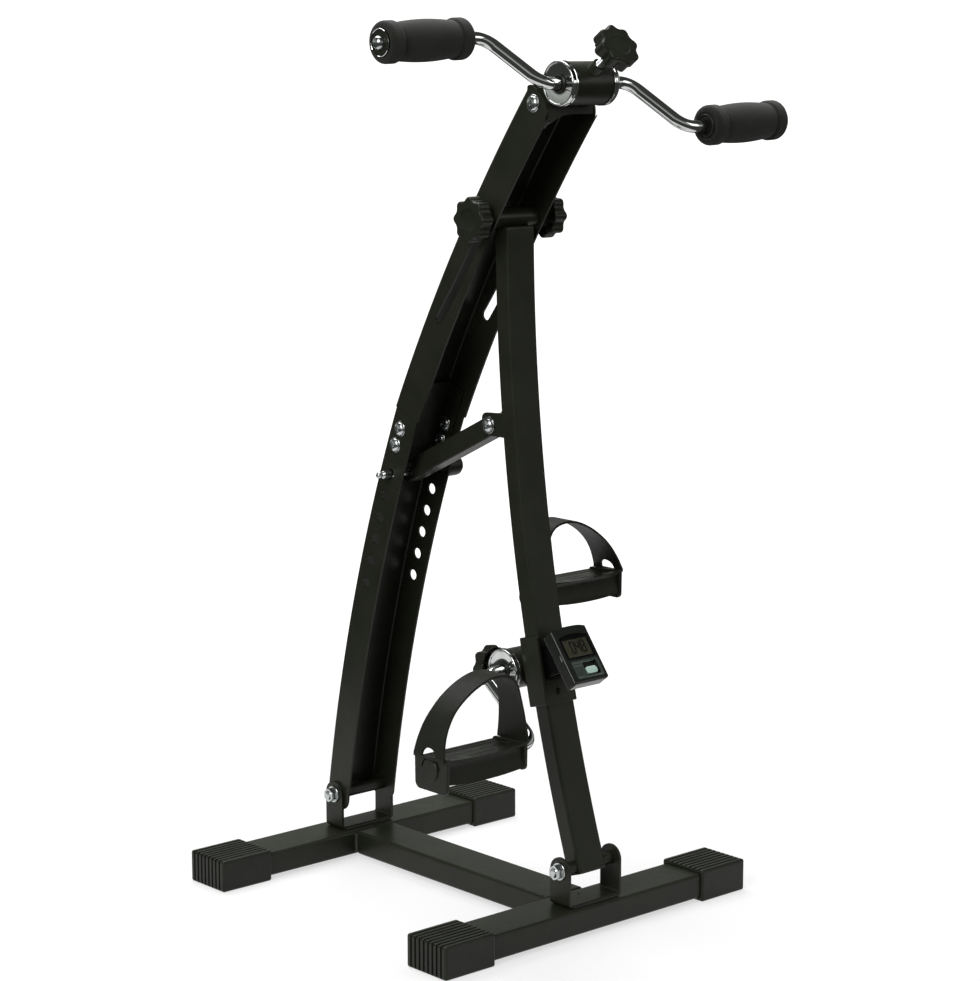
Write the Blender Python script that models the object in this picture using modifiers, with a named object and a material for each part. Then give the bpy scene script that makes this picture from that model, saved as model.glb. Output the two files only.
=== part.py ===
"""Dual exercise bike: a small floor machine with one crank for the arms and one for the legs.

Metres, +Z up. X runs across the machine and the person sits on its -Y side. Points of the side
view are (y, z) pairs measured from the middle of the base on the floor. SHIFT then moves the
whole machine so that the middle of its footprint is at the origin.
"""

from math import atan2, cos, hypot, pi, radians, sin

import bmesh
import bpy
from mathutils import Matrix, Vector

SHIFT = (-0.00825, 0.0143)
GAP = 0.0003

# Base: two floor bars joined by a centre tube, with a plastic cap on each end
BASE_LENGTH = 0.403
BAR_Y = 0.1724
TUBE_WIDTH = 0.050
TUBE_HEIGHT = 0.025
TUBE_WALL = 0.0015
CAP_LENGTH = 0.0619
CAP_WIDTH = 0.0564
CAP_HEIGHT = 0.0327
CAP_WALL = 0.0032
CAP_GROOVES = 8

# The two pivots at the floor bars, each in a bent U bracket
STRUT_PIVOT = (-0.1765, 0.0645)
COLUMN_PIVOT = (0.1724, 0.0660)
BRACKET_HALF = 0.0353
BRACKET_PLATE = 0.0030
EAR_RADIUS = 0.0135
BOLT_RADIUS = 0.0040
BOLT_HOLE = 0.0043

# Column: two curved steel channels, open towards the person
# An arc is (y, z) of its centre and the radius of the channel's centreline
LOWER_ARC = (-1.6119, -0.2015, 1.8020)
UPPER_ARC = (-1.5761, -0.2968, 1.8076)
LOWER_DEPTH = 0.0358
UPPER_DEPTH = 0.0393
CHANNEL_HALF = 0.0320
CHANNEL_WALL = 0.0020
SEAM_DEGREES = 22.4
COLUMN_BOLTS = ((0.0632, 0.4694), (0.0709, 0.4523))
TOP_BOLT = (-0.1330, 0.7970)
PIN_HOLE_DEGREES = 20.23
PIN_HOLE_PITCH = 0.025
PIN_HOLES = 6
PIN_HOLE_RADIUS = 0.0056

# Strut: a curved rectangular tube from the front pivot to the clamp axis in the column
STRUT_ARC = (-2.0193, 0.6912, 1.9471)
STRUT_HALF = 0.01775
STRUT_DEPTH = 0.0195
CLAMP = (-0.0665, 0.6865)
CLAMP_SLEEVE_RADIUS = 0.0100
BRACE_PIVOT = (-0.0500, 0.4837)
BRACE_HALF = 0.0100

# Tilt: how far the column leans back, and how far the strut turns with it
TILT_DEGREES = 14.8
STRUT_RATIO = 1.36
SLOT_WIDTH = 0.0104

# Hubs of the two cranks, of the same size
ARM_HUB = (-0.1635, 0.8156)
FOOT_HUB = (-0.0875, 0.2465)
HUB_HALF = 0.0303
HUB_RADIUS = 0.02025
RING_RADIUS = 0.02125
RING_WIDTH = 0.0070
CRANK_RADIUS = 0.0060
ARM_CRANK_THROW = (0.0400, 0.0408)
ARM_CRANK_SHIFT = 0.0060
FOOT_CRANK_THROW = (-0.0745, -0.0530)
GRIP_LENGTH = 0.098
GRIP_INNER = (0.110, 0.1265)
PEDAL_MIDDLE = 0.1355
PEDAL_HALF = 0.0505
STRAP_HEIGHT = (0.0670, 0.0590)
STRAP_SLOPE = (0.20, 0.43)

# Star knobs, their studs and the screw pitch that couples them
KNOB_THICKNESS = 0.0145
KNOB_LOBES = 8
TENSION_BOSS = 0.0055
CLAMP_BOSS = 0.0085
ARM_KNOB_DEGREES = 145.0
FOOT_KNOB_DEGREES = -11.0
ARM_KNOB_REACH = 0.0572
FOOT_KNOB_REACH = 0.0485

# Counter on the front of the strut
COUNTER_TOP = (-0.1479, 0.2970)
COUNTER_BOTTOM = (-0.1847, 0.2491)
COUNTER_HALF = 0.0230
COUNTER_DEPTH = 0.0145

LOOKS = {
    "black_steel": ((0.030, 0.032, 0.031), 0.55, 0.42),
    "chrome": ((0.72, 0.73, 0.74), 1.00, 0.12),
    "zinc": ((0.58, 0.57, 0.53), 1.00, 0.38),
    "black_plastic": ((0.022, 0.022, 0.023), 0.00, 0.55),
    "foam": ((0.035, 0.036, 0.037), 0.00, 0.92),
    "strap_rubber": ((0.026, 0.027, 0.026), 0.00, 0.70),
    "counter_plastic": ((0.018, 0.019, 0.020), 0.00, 0.28),
    "display_glass": ((0.20, 0.20, 0.15), 0.00, 0.15),
    "button_mint": ((0.62, 0.80, 0.68), 0.00, 0.40),
}

SIDE_VIEW = Matrix(((0, 0, 1), (1, 0, 0), (0, 1, 0))).to_4x4()
FRONT_VIEW = Matrix(((1, 0, 0), (0, 0, -1), (0, 1, 0))).to_4x4()
PLAN_VIEW = Matrix.Identity(4)


# Scene, collections and the empties that carry the pieces

def empty_scene():
    for obj in list(bpy.data.objects):
        bpy.data.objects.remove(obj, do_unlink=True)
    for mesh in list(bpy.data.meshes):
        bpy.data.meshes.remove(mesh)


def new_collection(name):
    collection = bpy.data.collections.new(name)
    bpy.context.scene.collection.children.link(collection)
    return collection


empty_scene()
PIECES = new_collection("dual_exercise_bike")
CUTTERS = new_collection("cutters")
CARRIERS = {}


def carrier(name, place, parent=None):
    """An empty on a joint axis. Its place is in the machine's own frame."""
    empty = bpy.data.objects.new(name, None)
    empty.empty_display_size = 0.02
    PIECES.objects.link(empty)
    CARRIERS[name] = Vector(place)
    if parent:
        empty.parent = bpy.data.objects[parent]
        empty.location = CARRIERS[name] - CARRIERS[parent]
    else:
        empty.location = CARRIERS[name] + Vector((*SHIFT, 0))
    return empty


def material(name, look):
    colour, metallic, roughness = LOOKS[look]
    made = bpy.data.materials.new(name)
    made.use_nodes = True
    shader = made.node_tree.nodes["Principled BSDF"]
    shader.inputs["Base Color"].default_value = (*colour, 1)
    shader.inputs["Metallic"].default_value = metallic
    shader.inputs["Roughness"].default_value = roughness
    made.diffuse_color = (*colour, 1)
    return made


def piece(obj, name, look, parent):
    """Name a finished shape, give it its material and hand it to its carrier."""
    obj.name = name
    obj.data.name = name
    obj.data.materials.clear()
    obj.data.materials.append(material(name, look))
    obj.parent = bpy.data.objects[parent]
    obj.matrix_basis = Matrix.Translation(-CARRIERS[parent]) @ obj.matrix_basis
    PIECES.objects.link(obj)
    return obj


def tool(obj):
    """Keep a shape as a cutter or as the second half of a union."""
    obj.hide_render = True
    obj.display_type = "WIRE"
    obj.parent = bpy.data.objects["base"]
    CUTTERS.objects.link(obj)
    return obj


# Modifiers

def combine(obj, other, operation):
    modifier = obj.modifiers.new(operation.lower(), "BOOLEAN")
    modifier.operation = operation
    modifier.solver = "EXACT"
    modifier.object = tool(other)
    return obj


def cut(obj, *others):
    for other in others:
        combine(obj, other, "DIFFERENCE")
    return obj


def join(obj, *others):
    for other in others:
        combine(obj, other, "UNION")
    return obj


def keep_common(obj, other):
    return combine(obj, other, "INTERSECT")


def soften(obj, width, segments=2, degrees=40):
    bevel = obj.modifiers.new("rounded_edges", "BEVEL")
    bevel.width = width
    bevel.segments = segments
    bevel.limit_method = "ANGLE"
    bevel.angle_limit = radians(degrees)
    return obj


def smooth(obj, degrees=35):
    obj.data.shade_smooth()
    obj.data.set_sharp_from_angle(angle=radians(degrees))
    return obj


# Shapes, each made in the machine's own frame

def object_of(shape, name, matrix=None):
    mesh = bpy.data.meshes.new(name)
    shape.to_mesh(mesh)
    shape.free()
    obj = bpy.data.objects.new(name, mesh)
    obj.matrix_basis = matrix or Matrix.Identity(4)
    return obj


def as_mesh(source):
    """A curve, or a mesh with modifiers, turned into one welded mesh in the same place."""
    bpy.context.scene.collection.objects.link(source)
    graph = bpy.context.evaluated_depsgraph_get()
    mesh = bpy.data.meshes.new_from_object(source.evaluated_get(graph))
    shape = bmesh.new()
    shape.from_mesh(mesh)
    bmesh.ops.remove_doubles(shape, verts=shape.verts, dist=1e-6)
    bmesh.ops.recalc_face_normals(shape, faces=shape.faces)
    bpy.data.meshes.remove(mesh)
    name, matrix = source.name, source.matrix_basis.copy()
    bpy.data.objects.remove(source, do_unlink=True)
    return object_of(shape, name, matrix)


def block(low, high, matrix=None):
    low, high = Vector(low), Vector(high)
    shape = bmesh.new()
    bmesh.ops.create_cube(shape, size=1)
    bmesh.ops.scale(shape, vec=high - low, verts=shape.verts)
    bmesh.ops.translate(shape, vec=(low + high) / 2, verts=shape.verts)
    return object_of(shape, "block", matrix)


def rod(start, end, radius, sides=16, end_radius=None):
    """A cylinder or a cone between two points."""
    start, end = Vector(start), Vector(end)
    shape = bmesh.new()
    bmesh.ops.create_cone(
        shape,
        cap_ends=True,
        segments=sides,
        radius1=radius,
        radius2=radius if end_radius is None else end_radius,
        depth=(end - start).length,
    )
    turn = (end - start).to_track_quat("Z", "Y").to_matrix().to_4x4()
    obj = object_of(shape, "rod", Matrix.Translation((start + end) / 2) @ turn)
    return smooth(obj)


def cross_rod(side, x_start, x_end, radius, sides=16):
    return rod((x_start, *side), (x_end, *side), radius, sides)


def plate(outline, start, end, view=SIDE_VIEW):
    """A flat outline with thickness, from start to end along the view's depth."""
    curve = bpy.data.curves.new("plate", "CURVE")
    curve.dimensions = "2D"
    curve.fill_mode = "BOTH"
    curve.extrude = abs(end - start) / 2
    spline = curve.splines.new("POLY")
    spline.points.add(len(outline) - 1)
    for point, (across, along) in zip(spline.points, outline):
        point.co = (across, along, 0, 1)
    spline.use_cyclic_u = True
    obj = bpy.data.objects.new("plate", curve)
    obj.matrix_basis = view @ Matrix.Translation((0, 0, (start + end) / 2))
    return merge_flat_faces(as_mesh(obj))


def merge_flat_faces(obj):
    """Make one face of the triangles that fill a flat outline."""
    shape = bmesh.new()
    shape.from_mesh(obj.data)
    bmesh.ops.dissolve_limit(shape, angle_limit=radians(0.1), verts=shape.verts, edges=shape.edges)
    shape.to_mesh(obj.data)
    shape.free()
    return obj


def turned_shape(profile, base, direction, sides=24):
    """A profile of (radius, height) pairs, turned about the line from base along direction.

    The profile runs from the top of the axis, down the outer side, to the bottom of the axis.
    """
    shape = bmesh.new()
    corners = [shape.verts.new((radius, 0, height)) for radius, height in profile]
    for first, second in zip(corners, corners[1:]):
        shape.edges.new((first, second))
    turn = Vector(direction).to_track_quat("Z", "Y").to_matrix().to_4x4()
    obj = object_of(shape, "turned", Matrix.Translation(base) @ turn)
    screw = obj.modifiers.new("turned", "SCREW")
    screw.steps = sides
    screw.render_steps = sides
    screw.use_merge_vertices = True
    screw.merge_threshold = 1e-5
    return smooth(as_mesh(obj))


def bent_rod(corners, radius, bend, sides_level=4, steps=3):
    """A round rod along straight runs, with a bend of one radius at each inner corner."""
    path = [Vector(corners[0])]
    for before, corner, after in zip(corners, corners[1:], corners[2:]):
        path += bend_points(Vector(before), Vector(corner), Vector(after), bend, steps)
    path.append(Vector(corners[-1]))
    curve = bpy.data.curves.new("bent_rod", "CURVE")
    curve.dimensions = "3D"
    curve.bevel_depth = radius
    curve.bevel_resolution = sides_level
    curve.use_fill_caps = True
    spline = curve.splines.new("POLY")
    spline.points.add(len(path) - 1)
    for point, place in zip(spline.points, path):
        point.co = (*place, 1)
    return smooth(as_mesh(bpy.data.objects.new("bent_rod", curve)), 40)


def bend_points(before, corner, after, radius, steps):
    """Points of the arc that rounds the corner between two straight runs."""
    towards_start = (before - corner).normalized()
    towards_end = (after - corner).normalized()
    half_angle = towards_start.angle(towards_end) / 2
    setback = radius / abs(sin(half_angle)) * cos(half_angle)
    middle = (towards_start + towards_end).normalized()
    centre = corner + middle * (radius / sin(half_angle))
    first = corner + towards_start * setback - centre
    last = corner + towards_end * setback - centre
    sweep = first.angle(last)
    axis = first.cross(last).normalized()
    turns = [Matrix.Rotation(sweep * step / steps, 3, axis) for step in range(steps + 1)]
    return [centre + turn @ first for turn in turns]


# Outlines of the side view

def on_arc(arc, degrees, outward=0.0):
    """A point of a column or strut arc, offset from its centreline away from the arc's centre."""
    angle = radians(degrees)
    reach = arc[2] + outward
    return (arc[0] + reach * cos(angle), arc[1] + reach * sin(angle))


def arc_band(arc, low, high, inner, outer, steps=8):
    """The band between two offsets of an arc, from one angle to another."""
    angles = [low + (high - low) * step / steps for step in range(steps + 1)]
    outside = [on_arc(arc, angle, outer) for angle in angles]
    inside = [on_arc(arc, angle, inner) for angle in reversed(angles)]
    return outside + inside


def circle(centre, radius, start=0.0, end=360.0, steps=16):
    """Points along an arc about a centre, without the last one where it closes."""
    count = steps if end - start >= 360 else steps + 1
    angles = [radians(start + (end - start) * step / steps) for step in range(count)]
    return [(centre[0] + radius * cos(a), centre[1] + radius * sin(a)) for a in angles]


def round_corner(outline, index, radius, steps=4):
    """The same outline with one corner replaced by an arc."""
    before = Vector(outline[index - 1]).to_3d()
    corner = Vector(outline[index]).to_3d()
    after = Vector(outline[(index + 1) % len(outline)]).to_3d()
    arc = [(point.x, point.y) for point in bend_points(before, corner, after, radius, steps)]
    return outline[:index] + arc + outline[index + 1:]


def rotated(side, pivot, degrees):
    """A side view point after leaning back about a pivot, top towards +Y."""
    angle = radians(degrees)
    dy, dz = side[0] - pivot[0], side[1] - pivot[1]
    return (
        pivot[0] + dy * cos(angle) + dz * sin(angle),
        pivot[1] - dy * sin(angle) + dz * cos(angle),
    )


def step_along(side, degrees, distance):
    """The point a distance away, at an angle measured from +Y towards +Z."""
    angle = radians(degrees)
    return (side[0] + distance * cos(angle), side[1] + distance * sin(angle))


def clamp_in_column(tilt):
    """Where the clamp axis lies in the column once the column leans back by tilt degrees."""
    leaned = rotated(CLAMP, STRUT_PIVOT, tilt * STRUT_RATIO)
    return rotated(leaned, COLUMN_PIVOT, -tilt)


def slot_outline(path, width, steps=5):
    """A slot of constant width with round ends along a path of side view points."""
    edges = []
    for run in (path, path[::-1]):
        for index, point in enumerate(run):
            before = run[max(index - 1, 0)]
            after = run[min(index + 1, len(run) - 1)]
            heading = atan2(after[1] - before[1], after[0] - before[0])
            edges.append((point[0] + width / 2 * sin(heading), point[1] - width / 2 * cos(heading)))
        end, previous = run[-1], run[-2]
        heading = atan2(end[1] - previous[1], end[0] - previous[0])
        for step in range(1, steps):
            angle = heading - pi / 2 + pi * step / steps
            edges.append((end[0] + width / 2 * cos(angle), end[1] + width / 2 * sin(angle)))
    return edges


# Base

def floor_bar(name, y):
    half = TUBE_WIDTH / 2
    reach = BASE_LENGTH / 2 - CAP_WALL - 2 * GAP
    low = (CAP_HEIGHT - TUBE_HEIGHT) / 2
    bar = block((-reach, y - half, low), (reach, y + half, low + TUBE_HEIGHT))
    soften(bar, 0.0025, 1)
    inside = block(
        (-reach - 0.01, y - half + TUBE_WALL, low + TUBE_WALL),
        (reach + 0.01, y + half - TUBE_WALL, low + TUBE_HEIGHT - TUBE_WALL),
    )
    return piece(cut(bar, inside), name, "black_steel", "base")


def centre_tube():
    half = TUBE_WIDTH / 2
    reach = BAR_Y - half - GAP
    low = (CAP_HEIGHT - TUBE_HEIGHT) / 2
    tube = block((-half, -reach, low), (half, reach, low + TUBE_HEIGHT))
    soften(tube, 0.0025, 1)
    inside = block(
        (-half + TUBE_WALL, -reach - 0.01, low + TUBE_WALL),
        (half - TUBE_WALL, reach + 0.01, low + TUBE_HEIGHT - TUBE_WALL),
    )
    return piece(cut(tube, inside), "centre_tube", "black_steel", "base")


def end_cap(name, side, y):
    """A socket over the end of a floor bar, with grooves along its top and down its end."""
    outer = BASE_LENGTH / 2
    half = CAP_WIDTH / 2
    low = (CAP_HEIGHT - TUBE_HEIGHT) / 2 - GAP
    turn = Matrix.Translation((0, y, 0)) @ Matrix.Rotation(0 if side > 0 else pi, 4, "Z")
    cap = block((outer - CAP_LENGTH, -half, 0), (outer, half, CAP_HEIGHT), turn)
    soften(cap, 0.0022, 1)
    socket = block(
        (outer - CAP_LENGTH - 0.01, -TUBE_WIDTH / 2 - GAP, low),
        (outer - CAP_WALL, TUBE_WIDTH / 2 + GAP, low + TUBE_HEIGHT + 2 * GAP),
        turn,
    )
    depth = 0.0010
    far, above = outer + 0.01, CAP_HEIGHT + 0.01
    top = cap_grooves((outer - CAP_LENGTH - 0.001, CAP_HEIGHT - depth), (far, above), turn)
    face = cap_grooves((outer - depth, -0.001), (far, above), turn)
    cut(cap, socket, top, face)
    return piece(cap, name, "black_plastic", "base")


def cap_grooves(low, high, turn):
    """Parallel cutters for the lines of a cap's grip, between two (x, z) corners."""
    width, margin = 0.0021, 0.0068
    pitch = (CAP_WIDTH - 2 * margin) / (CAP_GROOVES - 1)
    shape = bmesh.new()
    for index in range(CAP_GROOVES):
        middle = -CAP_WIDTH / 2 + margin + index * pitch
        made = bmesh.ops.create_cube(shape, size=1)["verts"]
        bmesh.ops.scale(shape, vec=(high[0] - low[0], width, high[1] - low[1]), verts=made)
        centre = ((low[0] + high[0]) / 2, middle, (low[1] + high[1]) / 2)
        bmesh.ops.translate(shape, vec=centre, verts=made)
    return object_of(shape, "grooves", turn)


def u_outline(half, height, wall, radius):
    """A bent sheet in the shape of a U, standing on zero."""
    outer = [(-half, height), (-half, 0), (half, 0), (half, height)]
    outer = round_corner(outer, 2, radius)
    outer = round_corner(outer, 1, radius)
    inner = [(half - wall, height), (half - wall, wall), (-half + wall, wall), (-half + wall, height)]
    inner = round_corner(inner, 2, radius - wall)
    inner = round_corner(inner, 1, radius - wall)
    return outer + inner


def pivot_bracket(name, pivot):
    """The U bracket on a floor bar: a web on the bar and two ears with round tops."""
    floor = (CAP_HEIGHT + TUBE_HEIGHT) / 2 + GAP
    height = pivot[1] - floor + EAR_RADIUS
    sheet = plate(
        [(x, z + floor) for x, z in u_outline(BRACKET_HALF, height, BRACKET_PLATE, 0.0050)],
        -pivot[0] - EAR_RADIUS,
        -pivot[0] + EAR_RADIUS,
        FRONT_VIEW,
    )
    ear = [(pivot[0] - EAR_RADIUS, floor - 0.01), (pivot[0] + EAR_RADIUS, floor - 0.01)]
    ear += circle(pivot, EAR_RADIUS, 0, 180, 10)
    keep_common(sheet, plate(ear, -0.05, 0.05))
    cut(sheet, cross_rod(pivot, -0.05, 0.05, BOLT_HOLE))
    if name == "front_bracket":
        hole_y = pivot[0] + 0.0100
        cut(sheet, rod((0, hole_y, floor - 0.01), (0, hole_y, floor + 0.01), 0.0012, 10))
    return piece(sheet, name, "black_steel", "base")


def hexagon(side, start, end, radius=0.0075):
    return cross_rod(side, start, end, radius, 6)


def pivot_bolt(name, pivot):
    """A bolt through both ears: flat head on the right, washer and lock nut on the left."""
    outside = BRACKET_HALF + GAP
    bolt = cross_rod(pivot, -outside - 0.009, outside + 0.002, BOLT_RADIUS)
    washer = cross_rod(pivot, -outside - 0.0014, -outside, 0.0085)
    nut = hexagon(pivot, -outside - 0.0082, -outside - 0.0008)
    head = hexagon(pivot, outside, outside + 0.0052)
    return piece(join(bolt, washer, nut, head), name, "zinc", "base")


# Column

def channel(arc, low, high, depth, outline):
    """A channel cut from a solid band: web at the back, two flanges, open at the front."""
    half = depth / 2
    solid = plate(outline, -CHANNEL_HALF, CHANNEL_HALF)
    round_bends(solid, arc, half, CHANNEL_HALF, 0.0040)
    inside = plate(
        arc_band(arc, low - 1.5, high + 1.5, -half - 0.03, half - CHANNEL_WALL),
        -CHANNEL_HALF + CHANNEL_WALL,
        CHANNEL_HALF - CHANNEL_WALL,
    )
    round_bends(inside, arc, half - CHANNEL_WALL, CHANNEL_HALF - CHANNEL_WALL, 0.0020)
    return cut(solid, inside)


def round_bends(obj, arc, outward, half, radius):
    """Round the two long edges where a web turns into its flanges."""
    shape = bmesh.new()
    shape.from_mesh(obj.data)
    to_machine = obj.matrix_basis

    def on_bend(vertex):
        place = to_machine @ vertex.co
        reach = hypot(place.y - arc[0], place.z - arc[1]) - arc[2]
        return abs(abs(place.x) - half) < 1e-5 and abs(reach - outward) < 1e-4

    bends = [edge for edge in shape.edges if on_bend(edge.verts[0]) and on_bend(edge.verts[1])]
    bends = [edge for edge in bends if not lies_along_x(edge, to_machine)]
    bmesh.ops.bevel(shape, geom=bends, offset=radius, segments=2, profile=0.5, affect="EDGES")
    shape.to_mesh(obj.data)
    shape.free()


def lies_along_x(edge, matrix):
    start, end = (matrix @ vertex.co for vertex in edge.verts)
    return abs(start.x - end.x) > 1e-5


def seam_cutter(above):
    """A large block on one side of the seam between the two channels."""
    angle = radians(SEAM_DEGREES)
    middle = on_arc(LOWER_ARC, SEAM_DEGREES)
    frame = Matrix.Translation((0, *middle)) @ Matrix.Rotation(angle, 4, "X")
    if above:
        return block((-0.05, -0.06, -GAP / 2), (0.05, 0.06, 0.06), frame)
    return block((-0.05, -0.06, -0.06), (0.05, 0.06, GAP / 2), frame)


def lower_column():
    half = LOWER_DEPTH / 2
    outline = arc_band(LOWER_ARC, 8.05, SEAM_DEGREES + 0.4, -half, half)
    outline = round_corner(outline, len(outline) - 1, 0.013, 3)
    outline = round_corner(outline, 0, 0.013, 3)
    body = channel(LOWER_ARC, 8.05, SEAM_DEGREES + 0.4, LOWER_DEPTH, outline)
    pivot_y, pivot_z = COLUMN_PIVOT
    web_end = block((-0.028, pivot_y + 0.004, pivot_z - 0.03), (0.028, pivot_y + 0.03, pivot_z - 0.002))
    cut(body, seam_cutter(above=True), web_end)
    sleeve = cross_rod(COLUMN_PIVOT, -CHANNEL_HALF + 0.001, CHANNEL_HALF - 0.001, 0.0062, 14)
    join(body, sleeve)
    cut(body, cross_rod(COLUMN_PIVOT, -0.05, 0.05, BOLT_HOLE, 12), pin_hole_cutter())
    for bolt in COLUMN_BOLTS:
        cut(body, cross_rod(bolt, -0.05, 0.05, 0.0033, 8))
    return piece(body, "lower_column", "black_steel", "column")


def pin_hole(index):
    """Centre of a hole for the lock pin, counted down the column."""
    return on_arc(LOWER_ARC, PIN_HOLE_DEGREES - index * PIN_HOLE_PITCH / LOWER_ARC[2] * 180 / pi)


def pin_hole_cutter():
    shape = bmesh.new()
    for index in range(PIN_HOLES):
        place = Matrix.Translation((0, *pin_hole(index))) @ Matrix.Rotation(pi / 2, 4, "Y")
        bmesh.ops.create_cone(
            shape,
            cap_ends=True,
            segments=8,
            radius1=PIN_HOLE_RADIUS,
            radius2=PIN_HOLE_RADIUS,
            depth=0.1,
            matrix=place,
        )
    return object_of(shape, "pin_holes")


def upper_column():
    half = UPPER_DEPTH / 2
    low, high = 24.9, 37.38
    outline = arc_band(UPPER_ARC, low, high, -half, half)
    front_top = len(outline) // 2
    outline = round_corner(outline, front_top, 0.020, 7)
    outline = round_corner(outline, front_top - 1, 0.002, 3)
    body = channel(UPPER_ARC, low, high, UPPER_DEPTH, outline)
    front = (UPPER_ARC[0], UPPER_ARC[1], UPPER_ARC[2] - half)
    foot, head = on_arc(front, 25.2), on_arc(front, 34.5)
    waist = [foot, head, (head[0] - 0.05, head[1]), (foot[0] - 0.05, foot[1])]
    cut(body, plate(waist, -0.05, 0.05))
    path = [clamp_in_column(TILT_DEGREES * step / 4) for step in range(5)]
    slot = plate(slot_outline(path, SLOT_WIDTH), -0.05, 0.05)
    cut(body, seam_cutter(above=False), slot, cross_rod(TOP_BOLT, -0.05, 0.05, BOLT_HOLE, 16))
    return piece(body, "upper_column", "black_steel", "column")


def column_joiner():
    """The inner channel behind the seam, which the upper column is welded to."""
    outer, wall = 0.0135, 0.0020
    half = CHANNEL_HALF - CHANNEL_WALL - GAP
    body = plate(arc_band(LOWER_ARC, 20.9, 23.2, -0.010, outer, 4), -half, half)
    round_bends(body, LOWER_ARC, outer, half, 0.0035)
    inside = plate(arc_band(LOWER_ARC, 20.5, 23.6, -0.030, outer - wall, 4), -half + wall, half - wall)
    cut(body, inside)
    for bolt in COLUMN_BOLTS:
        cut(body, cross_rod(bolt, -0.05, 0.05, 0.0033, 8))
    return piece(body, "column_joiner", "black_steel", "column")


def column_bolt(name, side, place):
    """A bolt through flange and joiner, with its round head on the side towards the left."""
    outside = CHANNEL_HALF + GAP
    inside = CHANNEL_HALF - 2 * CHANNEL_WALL - 2 * GAP
    seat, back = (-outside, -inside) if side < 0 else (inside, outside)
    dome = [(0, 0.0036), (0.0050, 0.0028), (0.0075, 0), (0, 0)]
    head = turned_shape(dome, (seat, *place), (-1, 0, 0), 12)
    shank = cross_rod(place, seat - 0.001, back + 0.0060, 0.0030, 8)
    nut = cross_rod(place, back, back + 0.0045, 0.0055, 6)
    return piece(join(shank, head, nut), name, "zinc", "column")


def arm_hub_bracket():
    """A bent bracket between the flanges, with a front web under the hub arched at its foot."""
    half = CHANNEL_HALF - CHANNEL_WALL - GAP
    wall = 0.0025
    front = -0.1495
    outline = [
        (front, 0.8150),
        (front, 0.7740),
        (-0.1400, 0.7740),
        (-0.1230, 0.7820),
        (-0.1180, 0.7930),
        (-0.1270, 0.8060),
        (-0.1360, 0.8200),
    ]
    outline = round_corner(outline, 5, 0.004, 2)
    outline = round_corner(outline, 4, 0.006, 3)
    body = plate(outline, -half, half)
    inside = block((-half + wall, front + wall, 0.76), (half - wall, -0.10, 0.84))
    soften(inside, 0.002, 1)
    arch = [
        (wall - half, 0.7600),
        (half + wall, 0.7600),
        (half + wall, 0.7862),
        (0.0010, 0.7866),
        (-0.0080, 0.7858),
        (-0.0150, 0.7840),
        (-0.0215, 0.7812),
        (wall - half, 0.7770),
    ]
    cut(body, plate(arch, 0.1200, 0.1600, FRONT_VIEW))
    shell = cross_rod(ARM_HUB, -0.05, 0.05, RING_RADIUS + 2 * GAP, 20)
    cut(body, inside, shell, cross_rod(TOP_BOLT, -0.05, 0.05, BOLT_HOLE, 16))
    return piece(body, "arm_hub_bracket", "black_steel", "column")


def arm_bracket_bolt():
    outside = CHANNEL_HALF + GAP
    dome = [(0, 0.0042), (0.0058, 0.0032), (0.0085, 0), (0, 0)]
    head = turned_shape(dome, (-outside, *TOP_BOLT), (-1, 0, 0), 12)
    shank = cross_rod(TOP_BOLT, -outside - 0.001, outside + 0.007, BOLT_RADIUS, 16)
    nut = cross_rod(TOP_BOLT, outside, outside + 0.0062, 0.0075, 6)
    return piece(join(shank, head, nut), "arm_bracket_bolt", "zinc", "column")


# Hubs

def hub_shell(name, hub, knob_degrees, parent):
    """The tube of a hub, with a threaded boss for its tension stud."""
    reach = HUB_HALF - RING_WIDTH - GAP
    shell = cross_rod(hub, -reach, reach, HUB_RADIUS, 18)
    seat = step_along(hub, knob_degrees, HUB_RADIUS - 0.002)
    top = step_along(hub, knob_degrees, HUB_RADIUS + 0.0095)
    join(shell, rod((0, *seat), (0, *top), 0.0066, 14))
    cut(shell, cross_rod(hub, -0.05, 0.05, 0.0170, 18))
    far = step_along(hub, knob_degrees, HUB_RADIUS + 0.02)
    near = step_along(hub, knob_degrees, 0.010)
    cut(shell, rod((0, *near), (0, *far), BOLT_HOLE + GAP, 12))
    return piece(shell, name, "black_steel", parent)


def hub_ring(name, hub, side, parent):
    """The chrome cup over one end of a hub, with a rolled rim and a sunk face."""
    bore, outer = 0.0082, RING_RADIUS
    low, high = HUB_HALF - RING_WIDTH, HUB_HALF
    rim, sink = 0.0022, 0.0014
    profile = [
        (bore, high - sink),
        (outer - rim - 0.0012, high - sink),
        (outer - rim, high),
        (outer - 0.0010, high),
        (outer, high - 0.0010),
        (outer, low),
        (bore, low),
        (bore, high - sink),
    ]
    ring = turned_shape(profile, (0, *hub), (side, 0, 0), 18)
    return piece(ring, name, "chrome", parent)


def hub_bush(name, hub, side, parent):
    """The plastic bush that the crank turns in, wide inside the shell and narrow in the cup."""
    bore, neck, wide = CRANK_RADIUS + GAP, 0.0079, 0.0166
    face, shoulder, back = HUB_HALF - 0.0004, HUB_HALF - RING_WIDTH - GAP, 0.0125
    profile = [
        (bore, face),
        (neck, face),
        (neck, shoulder),
        (wide, shoulder),
        (wide, back),
        (bore, back),
        (bore, face),
    ]
    bush = turned_shape(profile, (0, *hub), (side, 0, 0), 16)
    return piece(bush, name, "black_plastic", parent)


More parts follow.
